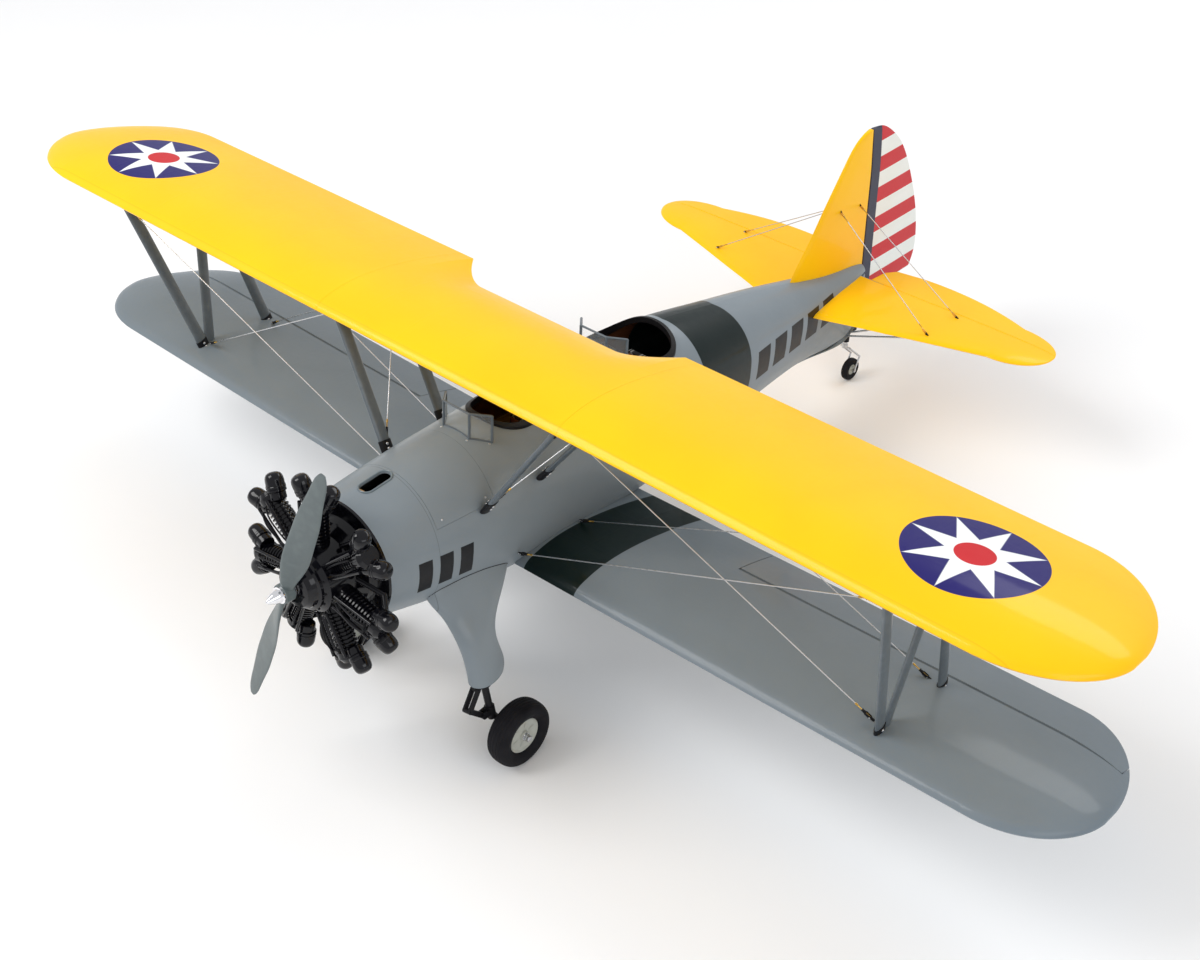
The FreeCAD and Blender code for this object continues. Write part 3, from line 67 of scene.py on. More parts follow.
class Term:
    """A number carried by a node socket, so that masks can be written as sums."""

    def __init__(self, mat, socket):
        self.mat, self.socket = mat, socket

    def op(self, kind, *others, clamp=False):
        node = self.mat.node_tree.nodes.new("ShaderNodeMath")
        node.operation = kind
        node.use_clamp = clamp
        for slot_index, value in enumerate((self,) + others):
            if isinstance(value, Term):
                self.mat.node_tree.links.new(value.socket, node.inputs[slot_index])
            else:
                node.inputs[slot_index].default_value = value
        return Term(self.mat, node.outputs[0])

    def __add__(self, other):
        return self.op("ADD", other)

    def __sub__(self, other):
        return self.op("SUBTRACT", other)

    def __mul__(self, other):
        return self.op("MULTIPLY", other)

    def abs(self):
        return self.op("ABSOLUTE")

    def above(self, edge, soft=0.0):
        """1 where the value is over the edge, over a soft step."""
        if soft <= 0:
            return self.op("GREATER_THAN", edge)
        return ((self - (edge - soft)) * (0.5 / soft)).op("ADD", 0.0, clamp=True)

    def below(self, edge, soft=0.0):
        return invert(self.above(edge, soft))

    def within(self, low, high, soft=0.0):
        return self.above(low, soft) * self.below(high, soft)


def invert(term):
    return (term * -1.0) + 1.0


def either(first, second):
    return first.op("MAXIMUM", second)


def shader_of(mat):
    return mat.node_tree.nodes["Principled BSDF"]


def new_material(name, rough=0.4, metal=0.0, coat=0.0, coat_rough=0.05, specular=0.5):
    mat = bpy.data.materials.new(name)
    mat.use_nodes = True
    shader = shader_of(mat)
    shader.inputs["Metallic"].default_value = metal
    shader.inputs["Roughness"].default_value = rough
    shader.inputs["Coat Weight"].default_value = coat
    shader.inputs["Coat Roughness"].default_value = coat_rough
    shader.inputs["Specular IOR Level"].default_value = specular
    return mat


def place(mat, steps=()):
    """Object coordinates in the level frame, then through further (location, rotation) frames."""
    tree = mat.node_tree
    out = tree.nodes.new("ShaderNodeTexCoord").outputs["Object"]
    frames = [(LEVEL_ORIGIN, (-TILT, 0, 0), MM)]
    frames += [(location, rotation, 1.0) for location, rotation in steps]
    for location, rotation, scale in frames:
        node = tree.nodes.new("ShaderNodeMapping")
        node.vector_type = "TEXTURE"
        node.inputs["Location"].default_value = location
        node.inputs["Rotation"].default_value = rotation
        node.inputs["Scale"].default_value = (scale,) * 3
        tree.links.new(out, node.inputs["Vector"])
        out = node.outputs[0]
    return out


def split(mat, vector):
    node = mat.node_tree.nodes.new("ShaderNodeSeparateXYZ")
    mat.node_tree.links.new(vector, node.inputs[0])
    return [Term(mat, out) for out in node.outputs]


def stretched(mat, vector, factors):
    node = mat.node_tree.nodes.new("ShaderNodeVectorMath")
    node.operation = "MULTIPLY"
    mat.node_tree.links.new(vector, node.inputs[0])
    node.inputs[1].default_value = factors
    return node.outputs[0]


def noise(mat, vector, scale, detail=3.0, rough=0.5):
    node = mat.node_tree.nodes.new("ShaderNodeTexNoise")
    node.inputs["Scale"].default_value = scale
    node.inputs["Detail"].default_value = detail
    node.inputs["Roughness"].default_value = rough
    mat.node_tree.links.new(vector, node.inputs["Vector"])
    return Term(mat, node.outputs["Fac"])


def cells(mat, vector, scale, feature="F1"):
    node = mat.node_tree.nodes.new("ShaderNodeTexVoronoi")
    node.feature = feature
    node.inputs["Scale"].default_value = scale
    mat.node_tree.links.new(vector, node.inputs["Vector"])
    return Term(mat, node.outputs["Distance"])


def mix(mat, share, first, second):
    """Two colours, or colour sockets, mixed by a term."""
    node = mat.node_tree.nodes.new("ShaderNodeMix")
    node.data_type = "RGBA"
    mat.node_tree.links.new(share.socket, node.inputs["Factor"])
    for index, colour in ((6, first), (7, second)):
        if isinstance(colour, tuple):
            node.inputs[index].default_value = colour + (1.0,)
        else:
            mat.node_tree.links.new(colour, node.inputs[index])
    return node.outputs[2]


def set_colour(mat, socket):
    mat.node_tree.links.new(socket, shader_of(mat).inputs["Base Color"])


def set_rough(mat, term, low, high):
    spread = term * (high - low) + low
    mat.node_tree.links.new(spread.socket, shader_of(mat).inputs["Roughness"])


def set_bump(mat, term, strength, distance):
    """Bump from a height term; distance is in metres."""
    node = mat.node_tree.nodes.new("ShaderNodeBump")
    node.inputs["Strength"].default_value = strength
    node.inputs["Distance"].default_value = distance
    mat.node_tree.links.new(term.socket, node.inputs["Height"])
    mat.node_tree.links.new(node.outputs[0], shader_of(mat).inputs["Normal"])


def srgb(red, green, blue):
    """An 8-bit colour as the shader's linear one."""
    return tuple((c / 255 / 12.92) if c / 255 <= 0.04045 else ((c / 255 + 0.055) / 1.055) ** 2.4
                 for c in (red, green, blue))


def ridges(term, spacing, width):
    """Narrow raised lines every so often along a term, 1 on the line."""
    turn = (term + spacing / 2).op("FLOORED_MODULO", spacing) - spacing / 2
    return turn.abs().below(width, width * 0.6)


# ---------------------------------------------------------------- covering materials

YELLOW = srgb(255, 201, 0)
DEEP_YELLOW = srgb(255, 188, 0)
GREY = srgb(133, 142, 148)
DEEP_GREY = srgb(121, 130, 136)
DARK_GREEN = srgb(8, 25, 25)
NAVY = srgb(28, 20, 100)
OFF_WHITE = srgb(238, 241, 240)
RED = srgb(198, 16, 28)
BLACK = srgb(14, 14, 17)
BLUE_BLACK = srgb(44, 46, 66)
JOINT_GREY = srgb(70, 80, 84)
UPPER_WING_FRAME = (UPPER_WING_ROOT, (-INCIDENCE, 0, 0))


def lower_wing_frame(side):
    return (LOWER_WING_ROOT, (-INCIDENCE, -side * DIHEDRAL, 0))


def film(name, base, deep):
    """Glossy iron-on film: even colour with soft drifts, and a little unevenness in the gloss."""
    mat = new_material(name, rough=0.4, coat=0.22, coat_rough=0.09, specular=0.14)
    vector = place(mat)
    drift = noise(mat, vector, 0.006, 2.0)
    fine = noise(mat, vector, 0.11, 3.0)
    colour = mix(mat, drift.within(0.35, 0.75, 0.2) * 0.6 + fine * 0.12, base, deep)
    set_rough(mat, fine, 0.34, 0.46)
    return mat, colour


def wing_relief(mat, x, y, spacing, spars):
    """Ribs and spars just showing through the film, with slack between them."""
    rib = ridges(x, spacing, 1.6)
    relief = rib * 0.5
    for spar in spars:
        relief = either(relief, (y - spar).abs().below(2.2, 1.2) * 0.45)
    sag = noise(mat, place(mat), 0.018, 2.0)
    return relief + sag * 0.9


def compass_star(u, v, radius, inner, points):
    """1 inside a star with the given number of points, drawn from polar coordinates."""
    angle = u.op("ARCTAN2", v)
    reach = (u * u + v * v).op("SQRT")
    sector = 2 * math.pi / points
    folded = ((angle + sector / 2).op("FLOORED_MODULO", sector) - sector / 2).abs()
    along = reach * folded.op("COSINE")
    across = reach * folded.op("SINE")
    notch_x = inner * math.cos(sector / 2)
    notch_y = inner * math.sin(sector / 2)
    return (along * notch_y + across * (radius - notch_x)).below(radius * notch_y, radius * 0.35)


def roundel(mat, ground, x, y, top, centre_x, centre_y):
    """Generic roundel: dark disc, eight-pointed light star, red centre, on the top face only."""
    u, v = x.abs() - centre_x, y - centre_y
    reach = (u * u + v * v).op("SQRT")
    disc = reach.below(80.4, 0.25) * top
    star = compass_star(u, v, 79.0, 33.0, 8) * top
    heart = reach.below(23.0, 0.25) * top
    colour = mix(mat, disc, ground, NAVY)
    colour = mix(mat, star, colour, OFF_WHITE)
    return mix(mat, heart, colour, RED)


def upper_wing_material(name, markings):
    mat, colour = film(name, YELLOW, DEEP_YELLOW)
    x, y, z = split(mat, place(mat, [UPPER_WING_FRAME]))
    if markings:
        colour = roundel(mat, colour, x, y, z.above(4.0), 697.0, 124.6)
    seam = (y - 7.0).abs().below(0.5, 0.35) * 0.25
    colour = mix(mat, seam, colour, srgb(205, 140, 0))
    set_colour(mat, colour)
    set_bump(mat, wing_relief(mat, x, y, 71.5, SPARS), 0.35, 0.0004)
    return mat


def lower_wing_material(name, side):
    # Grey film whose two colours are set darker than the fuselage's grey: painted shade for the
    # shadow of the upper wing above it, on the lower wing and its aileron.
    mat, colour = film(name, srgb(118, 129, 138), srgb(107, 118, 126))
    x, y, _ = split(mat, place(mat, [lower_wing_frame(side)]))
    band = x.abs().within(92.0, 181.0, 0.3)
    colour = mix(mat, band, colour, DARK_GREEN)
    set_colour(mat, colour)
    set_bump(mat, wing_relief(mat, x, y, 69.5, SPARS), 0.3, 0.0004)
    return mat


def tail_material(name):
    mat, colour = film(name, YELLOW, DEEP_YELLOW)
    x, y, _ = split(mat, place(mat))
    set_colour(mat, colour)
    set_bump(mat, wing_relief(mat, x, y, 52.0, TAIL_SPARS), 0.3, 0.0003)
    return mat


def fin_material(name):
    mat, colour = film(name, YELLOW, DEEP_YELLOW)
    _, y, z = split(mat, place(mat))
    set_colour(mat, colour)
    set_bump(mat, wing_relief(mat, z, y, 48.0, TAIL_SPARS[:1]), 0.3, 0.0003)
    return mat


def rudder_material(name):
    """A dark upright band at the hinge, then level red and light stripes."""
    mat, colour = film(name, OFF_WHITE, srgb(228, 230, 222))
    _, y, z = split(mat, place(mat))
    behind = y + z * math.tan(RUDDER_SWEEP) - RUDDER_HINGE_Y
    stripe = (z + 47.5).op("FLOORED_MODULO", RUDDER_STRIPE).below(RUDDER_STRIPE / 2, 0.25)
    colour = mix(mat, stripe, colour, RED)
    colour = mix(mat, behind.below(27.0, 0.25), colour, BLUE_BLACK)
    set_colour(mat, colour)
    set_bump(mat, wing_relief(mat, z, y, RUDDER_STRIPE, ()), 0.25, 0.0003)
    return mat


def side_bars(x, y, height, run, rise, pitch, width, inner, soft):
    """A row of upright bars on both sides of the fuselage, further out than its inner edge."""
    bars = (y - run[0]).op("FLOORED_MODULO", pitch).below(width, soft)
    return y.within(*run, soft) * height.within(*rise, soft) * x.abs().above(inner) * bars


def fuselage_material(name):
    """Painted shell: grey, a dark green band behind the rear cockpit, fine panel joints."""
    mat, colour = film(name, GREY, DEEP_GREY)
    vector = place(mat)
    x, y, z = split(mat, vector)

    # the band's two edges sweep aft down the sides
    band_front, band_rear = 454.0, 571.0
    slant = y - x.abs() * 0.26
    band = (y - x.abs() * 0.17).above(band_front, 0.4) * slant.below(band_rear, 0.4)
    colour = mix(mat, band, colour, DARK_GREEN)

    # three bars on the cowl that climb with it, and five along the tail
    nose_bars = side_bars(x, y, z + y * 0.1, (-104.0, -14.0), (-44.0, 2.0), 34.0, 22.0, 60.0, 0.3)
    tail_bars = side_bars(x, y, z, (610.0, 846.0), (-34.0, 14.0), 50.0, 36.0, 22.0, 0.4)
    colour = mix(mat, either(nose_bars, tail_bars), colour, BLACK)

    # the cowl's joint, and the step at the rear edge of the band
    joints = (y + 70.0).abs().below(0.35, 0.3)
    joints = either(joints, (slant - band_rear).abs().below(0.3, 0.3) * 0.4)
    colour = mix(mat, joints * 0.55, colour, JOINT_GREY)

    # wood lining on the faces that look inward between the cockpits' ends
    normal = mat.node_tree.nodes.new("ShaderNodeNewGeometry").outputs["Normal"]
    turned, _, raised = split(mat, normal)
    inside = (x * turned + z * raised).below(0.0) * y.within(72.0, 470.0) * z.above(-80.0)
    grain = noise(mat, stretched(mat, vector, (0.3, 0.02, 0.3)), 1.0, 3.0)
    lining = mix(mat, grain, srgb(128, 78, 48), srgb(86, 50, 32))
    colour = mix(mat, inside, colour, lining)
    set_colour(mat, colour)
    ripple = noise(mat, vector, 0.012, 2.0)
    set_bump(mat, ripple * 0.8 - joints * 0.6, 0.35, 0.0004)
    return mat


def paint(name, base, deep, rough=(0.35, 0.5), coat=0.0, grain=0.6, bump=0.00004, specular=0.3):
    """General painted or moulded finish with mottling and a fine grain."""
    mat = new_material(name, rough=rough[0], coat=coat, coat_rough=0.08, specular=specular)
    vector = place(mat)
    cloud = noise(mat, vector, 0.05, 4.0)
    fine = noise(mat, vector, grain, 2.0)
    set_colour(mat, mix(mat, cloud.within(0.3, 0.7, 0.2), base, deep))
    set_rough(mat, fine * 0.5 + cloud * 0.5, rough[0], rough[1])
    set_bump(mat, fine, 0.5, bump)
    return mat


def brushed(name, base, deep, rough=(0.18, 0.38)):
    """Metal with fine upright marks."""
    mat = new_material(name, rough=rough[0], metal=1.0)
    vector = place(mat)
    streak = noise(mat, stretched(mat, vector, (4.0, 4.0, 0.2)), 1.0, 3.0)
    patch = noise(mat, vector, 0.12, 2.0)
    set_colour(mat, mix(mat, streak * 0.5 + patch * 0.3, base, deep))
    set_rough(mat, streak * 0.6 + patch * 0.4, rough[0], rough[1])
    set_bump(mat, streak, 0.3, 0.00002)
    return mat


def plywood(name):
    """Birch plywood: long pale grain with darker pores."""
    mat = new_material(name, rough=0.6)
    vector = place(mat)
    grain = noise(mat, stretched(mat, vector, (0.5, 0.03, 0.5)), 1.0, 4.0, 0.6)
    pores = noise(mat, stretched(mat, vector, (2.5, 0.15, 2.5)), 1.0, 2.0)
    colour = mix(mat, grain, srgb(214, 180, 128), srgb(168, 124, 76))
    set_colour(mat, mix(mat, pores.above(0.62, 0.05) * 0.35, colour, srgb(110, 76, 44)))
    set_rough(mat, grain, 0.5, 0.75)
    set_bump(mat, pores, 0.4, 0.0001)
    return mat


def rubber(name):
    """Foam-rubber tyre: near black with pores and dust."""
    mat = new_material(name, rough=0.8, specular=0.15)
    vector = place(mat)
    dust = noise(mat, vector, 0.06, 4.0)
    pores = cells(mat, vector, 0.9)
    set_colour(mat, mix(mat, dust.within(0.45, 0.75, 0.15) * 0.5, srgb(15, 15, 20),
                        srgb(34, 33, 36)))
    set_rough(mat, dust, 0.62, 0.85)
    set_bump(mat, pores + dust * 0.3, 0.35, 0.00015)
    return mat


def glass(name):
    """Thin clear pane with a little haze."""
    mat = new_material(name, rough=0.04)
    vector = place(mat)
    haze = noise(mat, vector, 0.08, 3.0)
    set_colour(mat, mix(mat, haze, (0.8, 0.85, 0.86), (0.66, 0.72, 0.74)))
    set_rough(mat, haze, 0.03, 0.12)
    mat.node_tree.links.new((haze * 0.08 + 0.05).socket, shader_of(mat).inputs["Alpha"])
    return mat


def leather(name, base, deep):
    """Leather with a fine rounded grain and cloudy colour."""
    mat = new_material(name, rough=0.5, specular=0.2)
    vector = place(mat)
    grain = cells(mat, vector, 0.55, "SMOOTH_F1")
    cloud = noise(mat, vector, 0.05, 3.0)
    set_colour(mat, mix(mat, cloud * 0.7 + grain * 0.3, base, deep))
    set_rough(mat, grain, 0.38, 0.6)
    set_bump(mat, grain, 0.5, 0.0002)
    return mat


def instrument_panel(name):
    """Dark crackle panel with a row of plain round dials on its face."""
    mat = new_material(name, rough=0.55)
    vector = place(mat)
    x, _, z = split(mat, vector)
    crackle = cells(mat, vector, 0.8)
    u = (x + 15.0).op("FLOORED_MODULO", 30.0) - 15.0
    v = (z + 2.0).op("FLOORED_MODULO", 34.0) - 17.0
    reach = (u * u + v * v).op("SQRT")
    colour = mix(mat, crackle, srgb(28, 27, 28), srgb(44, 42, 42))
    colour = mix(mat, reach.within(9.6, 11.2, 0.15), colour, srgb(150, 150, 148))
    colour = mix(mat, reach.below(9.2, 0.15), colour, srgb(12, 12, 14))
    tick_turn = (u.op("ARCTAN2", v)).op("FLOORED_MODULO", math.pi / 6) - math.pi / 12
    ticks = (tick_turn * reach).abs().below(0.35, 0.12) * reach.within(6.8, 8.8, 0.1)
    needle = (u * 0.8 - v * 0.6).abs().below(0.45, 0.12) * reach.below(6.2, 0.1)
    colour = mix(mat, either(ticks, needle), colour, srgb(225, 225, 215))
    set_colour(mat, colour)
    set_rough(mat, crackle, 0.4, 0.7)
    set_bump(mat, crackle * reach.above(9.2, 0.1), 0.4, 0.0001)
    return mat


# ---------------------------------------------------------------- mesh tools

surface_trees = {}


def make(name, bm, material, body, replaces=(), sharp=35.0):
    """Turn a mesh drawn in the level frame into a piece that rides on a body."""
    bm.transform(LEVEL)
    bmesh.ops.recalc_face_normals(bm, faces=bm.faces)
    mesh = bpy.data.meshes.new(name)
    bm.to_mesh(mesh)
    bm.free()
    mesh.polygons.foreach_set("use_smooth", [True] * len(mesh.polygons))
    mesh.set_sharp_from_angle(angle=math.radians(sharp))
    piece = bpy.data.objects.new(name, mesh)
    bpy.context.scene.collection.objects.link(piece)
    mesh.materials.append(material)
    if replaces:
        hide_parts(*replaces)
    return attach(piece, body)


def frame_for(direction):
    """Two unit vectors square to a direction."""
    direction = direction.normalized()
    hint = X if abs(direction.dot(Z)) > 0.95 else Z
    side = direction.cross(hint).normalized()
    return side, side.cross(direction).normalized()


def ring(bm, centre, side, up, radius, count):
    """Points evenly round a circle in the plane of side and up."""
    return [bm.verts.new(centre + side * (radius * math.cos(2 * math.pi * k / count))
                         + up * (radius * math.sin(2 * math.pi * k / count)))
            for k in range(count)]


def bridge(bm, first, second):
    """A band of faces between two rings."""
    count = len(first)
    for k in range(count):
        bm.faces.new((first[k], first[(k + 1) % count], second[(k + 1) % count], second[k]))


def lathe(bm, origin, axis, profile, count=48, closed=False):
    """Turn (radius, height) points round an axis; ends are capped unless the profile is closed."""
    axis = axis.normalized()
    side, up = frame_for(axis)
    rings = [ring(bm, origin + axis * height, side, up, radius, count)
             for radius, height in profile]
    for first, second in zip(rings, rings[1:]):
        bridge(bm, first, second)
    if closed:
        bridge(bm, rings[-1], rings[0])
    else:
        bm.faces.new(rings[0][::-1])
        bm.faces.new(rings[-1])


def tube(bm, points, radius, count=10):
    """A round bar through points, turned smoothly at each one."""
    rings = []
    side = None
    for index, point in enumerate(points):
        ahead = points[min(index + 1, len(points) - 1)] - points[max(index - 1, 0)]
        direction = ahead.normalized()
        if side is None:
            side, up = frame_for(direction)
        side = (side - direction * side.dot(direction)).normalized()
        up = side.cross(direction)
        rings.append(ring(bm, point, side, up, radius, count))
    for first, second in zip(rings, rings[1:]):
        bridge(bm, first, second)
    bm.faces.new(rings[0][::-1])
    bm.faces.new(rings[-1])


def smooth(points, steps=6):
    """Points along a smooth curve through the given ones."""
    padded = [points[0] * 2 - points[1]] + list(points) + [points[-1] * 2 - points[-2]]
    out = []
    for a, b, c, d in zip(padded, padded[1:], padded[2:], padded[3:]):
        for step in range(steps):
            t = step / steps
            out.append(0.5 * (b * 2 + (c - a) * t + (a * 2 - b * 5 + c * 4 - d) * t ** 2
                              + (b * 3 - a - c * 3 + d) * t ** 3))
    return out + [points[-1].copy()]


def plate(bm, outline, offset):
    """A flat plate from an outline of points, thick by the offset vector."""
    low = [bm.verts.new(p) for p in outline]
    high = [bm.verts.new(p + offset) for p in outline]
    bm.faces.new(low[::-1])
    bm.faces.new(high)
    bridge(bm, low, high)


def rounded_plate(bm, centre, long_way, wide_way, thick, length, width, corner=1.0):
    """A plate with rounded corners centred on a point."""
    outline = []
    for sign_l, sign_w, turn in ((1, 1, 0), (-1, 1, 1), (-1, -1, 2), (1, -1, 3)):
        middle = (long_way * (sign_l * (length / 2 - corner))
                  + wide_way * (sign_w * (width / 2 - corner)))
        for step in range(4):
            angle = math.pi / 2 * (turn + step / 3)
            outline.append(centre + middle + long_way * (corner * math.cos(angle))
                           + wide_way * (corner * math.sin(angle)))
    plate(bm, outline, thick)


def cap_screw(bm, foot, direction, radius=1.6, height=1.4):
    """Button-head screw with a hexagon socket, standing on a surface."""
    direction = direction.normalized()
    profile = [(radius * 0.98, 0.0), (radius, height * 0.25), (radius * 0.9, height * 0.62),
               (radius * 0.66, height * 0.92), (radius * 0.5, height)]
    side, up = frame_for(direction)
    rings = [ring(bm, foot + direction * h, side, up, r, 24) for r, h in profile]
    for first, second in zip(rings, rings[1:]):
        bridge(bm, first, second)
    bm.faces.new(rings[0][::-1])
    rim = ring(bm, foot + direction * height, side, up, radius * 0.42, 24)
    bridge(bm, rings[-1], rim)
    socket = ring(bm, foot + direction * (height * 0.45), side, up, radius * 0.36, 24)
    bridge(bm, rim, socket)
    bm.faces.new(socket)


def hex_nut(bm, foot, direction, radius=2.6, height=2.2):
    """Hexagon nut with a domed chamfer."""
    direction = direction.normalized()
    lathe(bm, foot, direction, [(radius, 0), (radius, height * 0.75), (radius * 0.86, height),
                                (radius * 0.5, height), (radius * 0.45, height * 1.25),
                                (radius * 0.2, height * 1.35)], count=6)


def threaded(bm, start, direction, radius, length, pitch=0.5):
    """A rod with close rings for its thread."""
    direction = direction.normalized()
    profile, run = [(radius * 0.8, 0.0)], 0.0
    while run < length:
        profile += [(radius, run + pitch * 0.3), (radius * 0.84, run + pitch * 0.8)]
        run += pitch
    lathe(bm, start, direction, profile, count=12)


def surface(*nodes):
    """The CAD skin of some nodes as a search tree in the row frame."""
    if nodes not in surface_trees:
        verts, faces = [], []
        for node in nodes:
            mesh, base = NODES[node].data, len(verts)
            verts += [v.co.copy() for v in mesh.vertices]
            faces += [[base + i for i in p.vertices] for p in mesh.polygons]
        surface_trees[nodes] = BVHTree.FromPolygons(verts, faces)
    return surface_trees[nodes]


def landed(nodes, point, direction):
    """Where a ray from a level-frame point meets the CAD skin, and the skin's normal there."""
    start = LEVEL @ point
    way = (LEVEL.to_3x3() @ direction).normalized()
    hit, normal, _, _ = surface(*nodes).ray_cast(start, way)
    if hit is None:
        raise RuntimeError("no skin of %s on the ray from %s" % (nodes, tuple(point)))
    if normal.dot(way) > 0:
        normal = -normal
    return BACK @ hit, (BACK.to_3x3() @ normal).normalized()


def dress(nodes, material):
    """Give CAD nodes one material in place of their own."""
    for node in nodes:
        NODES[node].data.materials.clear()
        NODES[node].data.materials.append(material)


# ---------------------------------------------------------------- finishes of the CAD pieces

STEEL = brushed("bright_steel", (0.66, 0.67, 0.69), (0.5, 0.51, 0.53))
CHROME = brushed("polished_chrome", (0.9, 0.9, 0.92), (0.8, 0.8, 0.83), rough=(0.04, 0.12))
ALUMINIUM = brushed("turned_aluminium", (0.8, 0.8, 0.82), (0.68, 0.69, 0.71))
BRASS = brushed("brass_thread", srgb(214, 178, 96), srgb(176, 138, 66))
GLOSS_BLACK = paint("engine_gloss_black", srgb(6, 6, 10), srgb(11, 11, 16), rough=(0.07, 0.16),
                    grain=0.4, bump=0.00003, specular=0.32)
SATIN_BLACK = paint("satin_black", srgb(14, 14, 16), srgb(24, 24, 27), rough=(0.35, 0.55),
                    specular=0.2)
STRUT_GREY = paint("strut_grey", srgb(104, 113, 119), srgb(90, 98, 104), rough=(0.28, 0.42),
                   coat=0.3)
PROP_GREY = paint("propeller_grey", srgb(99, 109, 109), srgb(86, 95, 96), rough=(0.34, 0.48),
                  coat=0.15)
GREY_TRIM = paint("grey_trim", srgb(120, 132, 138), srgb(104, 116, 122), rough=(0.3, 0.45),
                  coat=0.4)
HUB_WHITE = paint("wheel_hub_pale", srgb(186, 188, 180), srgb(170, 172, 164), rough=(0.4, 0.6))
PLYWOOD = plywood("birch_plywood")
RUBBER = rubber("foam_rubber")
RIM = leather("rim_black", srgb(11, 11, 13), srgb(22, 20, 21))
SEAT = leather("seat_brown", srgb(104, 58, 38), srgb(74, 40, 26))
LEG_GREY = fuselage_material("leg_fairing_grey")

dress(["upper_wing_left", "upper_wing_right"], upper_wing_material("upper_wing_film", True))
dress(["upper_wing_centre"], upper_wing_material("centre_section_film", False))
for side_name, sign in (("left", 1), ("right", -1)):
    lower = lower_wing_material("lower_wing_film_painted_shade_" + side_name, sign)
    dress(["lower_wing_" + side_name, "aileron_" + side_name], lower)
dress(["stabilizer", "elevator"], tail_material("tail_film"))
dress(["fin"], fin_material("fin_film"))
dress(["rudder"], rudder_material("rudder_film"))
dress(["fuselage_shell", "top_hatch"], fuselage_material("fuselage_paint"))
dress(["gear_leg_fairing_left", "gear_leg_fairing_right"], LEG_GREY)
dress(["cabane_struts", "interplane_struts_left", "interplane_struts_right"], STRUT_GREY)
dress(["engine_plate", "engine_crankcase", "engine_cylinders", "rocker_boxes", "engine_pipes"],
      GLOSS_BLACK)
dress(["strut_fittings", "aileron_servo_arm_left", "aileron_servo_arm_right", "servos",
       "scissor_upper_left", "scissor_upper_right", "scissor_lower_left", "scissor_lower_right",
       "oleo_cylinders", "oleo_piston_left", "oleo_piston_right", "tail_wheel_bracket",
       "receiver_and_motor_controller"], SATIN_BLACK)
dress(["flying_wires", "tail_bracing", "prop_shaft", "tail_wheel_fork", "aileron_pushrod_left",
       "aileron_pushrod_right"], STEEL)
dress(["propeller"], PROP_GREY)
dress(["prop_nut_and_washer"], CHROME)
dress(["motor_bell", "motor_stator_and_standoffs", "wing_joiner_tubes"], ALUMINIUM)
dress(["firewall", "plywood_trays"], PLYWOOD)
dress(["belly_plate"], LEG_GREY)
dress(["cockpit_rims"], RIM)
dress(["windscreens"], glass("windscreen_pane"))
dress(["battery_pack"],
      paint("battery_wrap", srgb(30, 58, 132), srgb(24, 44, 104), rough=(0.25, 0.4)))
dress(["cockpit_seats_and_panels"], instrument_panel("panel_crackle"))


# ---------------------------------------------------------------- wheels

def tyre_section(radius, width, seat, grooves):
    """Closed section of a moulded tyre with grooves round the tread and a ridge on each wall."""
    half = width / 2
    middle = (seat + radius) / 2 + 1
    reach = radius - middle
    section = [(seat, -half * 0.62), (seat + 2, -half * 0.8)]
    for step in range(81):
        angle = math.radians(-100 + 200 * step / 80)
        across = half * math.copysign(abs(math.sin(angle)) ** 0.8, math.sin(angle))
        out = middle + reach * math.copysign(abs(math.cos(angle)) ** 0.8, math.cos(angle))
        for groove in grooves:
            out -= 0.7 * math.exp(-((across - groove) / 0.5) ** 2)
        across -= math.copysign(0.35, across) * math.exp(-((out - seat - 5.5) / 0.6) ** 2)
        section.append((out, across))
    return section + [(seat + 2, half * 0.8), (seat, half * 0.62)]


def hub_section(bore, rim, half):
    """Closed section of a two-sided hub: nave, dished disc and rolled rim."""
    one = [(bore, half * 0.75), (bore + 3.2, half * 0.75), (bore + 3.9, half * 0.71),
           (bore + 4.1, half * 0.56), (bore + 5.0, half * 0.525), (rim * 0.62, half * 0.5),
           (rim * 0.84, half * 0.52), (rim - 2.6, half * 0.58), (rim - 1.8, half * 0.655),
           (rim - 0.9, half * 0.67), (rim, half * 0.62)]
    return [(r, -h) for r, h in one] + one[::-1]


def wheel(name, centre, body, radius, width, rim, bore, grooves, nodes):
    bm = bmesh.new()
    lathe(bm, centre, X, tyre_section(radius, width, rim, grooves), 96, closed=True)
    make(name + "_tyre", bm, RUBBER, body, replaces=nodes[:1], sharp=50)
    bm = bmesh.new()
    lathe(bm, centre, X, hub_section(bore, rim, width / 2), 72, closed=True)
    for side in (-1, 1):
        face = centre + X * (side * width * 0.26)
        for k in range(6):
            angle = math.pi * k / 3 + 0.3
            way = Y * math.cos(angle) + Z * math.sin(angle)
            across = X.cross(way)
            rounded_plate(bm, face + way * (rim * 0.58), way, across, X * (side * width * 0.012),
                          rim * 0.34, rim * 0.09, rim * 0.03)
    make(name + "_hub", bm, HUB_WHITE, body, replaces=nodes[1:], sharp=30)


WHEEL_CENTRE = Vector((167, -6, -274))
for side_name, sign in (("left", 1), ("right", -1)):
    hub_centre = Vector((sign * WHEEL_CENTRE.x, WHEEL_CENTRE.y, WHEEL_CENTRE.z))
    wheel("main_wheel_" + side_name, hub_centre, "wheel_" + side_name, 48.0, 34.0, 26.0, 3.06,
          (-10.0, -5.0, 0.0, 5.0, 10.0), ["tyre_" + side_name, "wheel_hub_" + side_name])
    bm = bmesh.new()
    lathe(bm, hub_centre + X * (sign * 12.9), X * sign,
          [(5.7, 0), (5.9, 0.2), (5.9, 1.0), (5.7, 1.2)], 40)
    hex_nut(bm, hub_centre + X * (sign * 14.1), X * sign, 5.3, 3.6)
    lathe(bm, hub_centre + X * (sign * 17.5), X * sign,
          [(4.6, 0), (4.6, 3.2), (4.2, 3.9), (2.6, 4.4), (1.0, 4.6)], 32)
    make("axle_nut_" + side_name, bm, STEEL, "oleo_" + side_name)
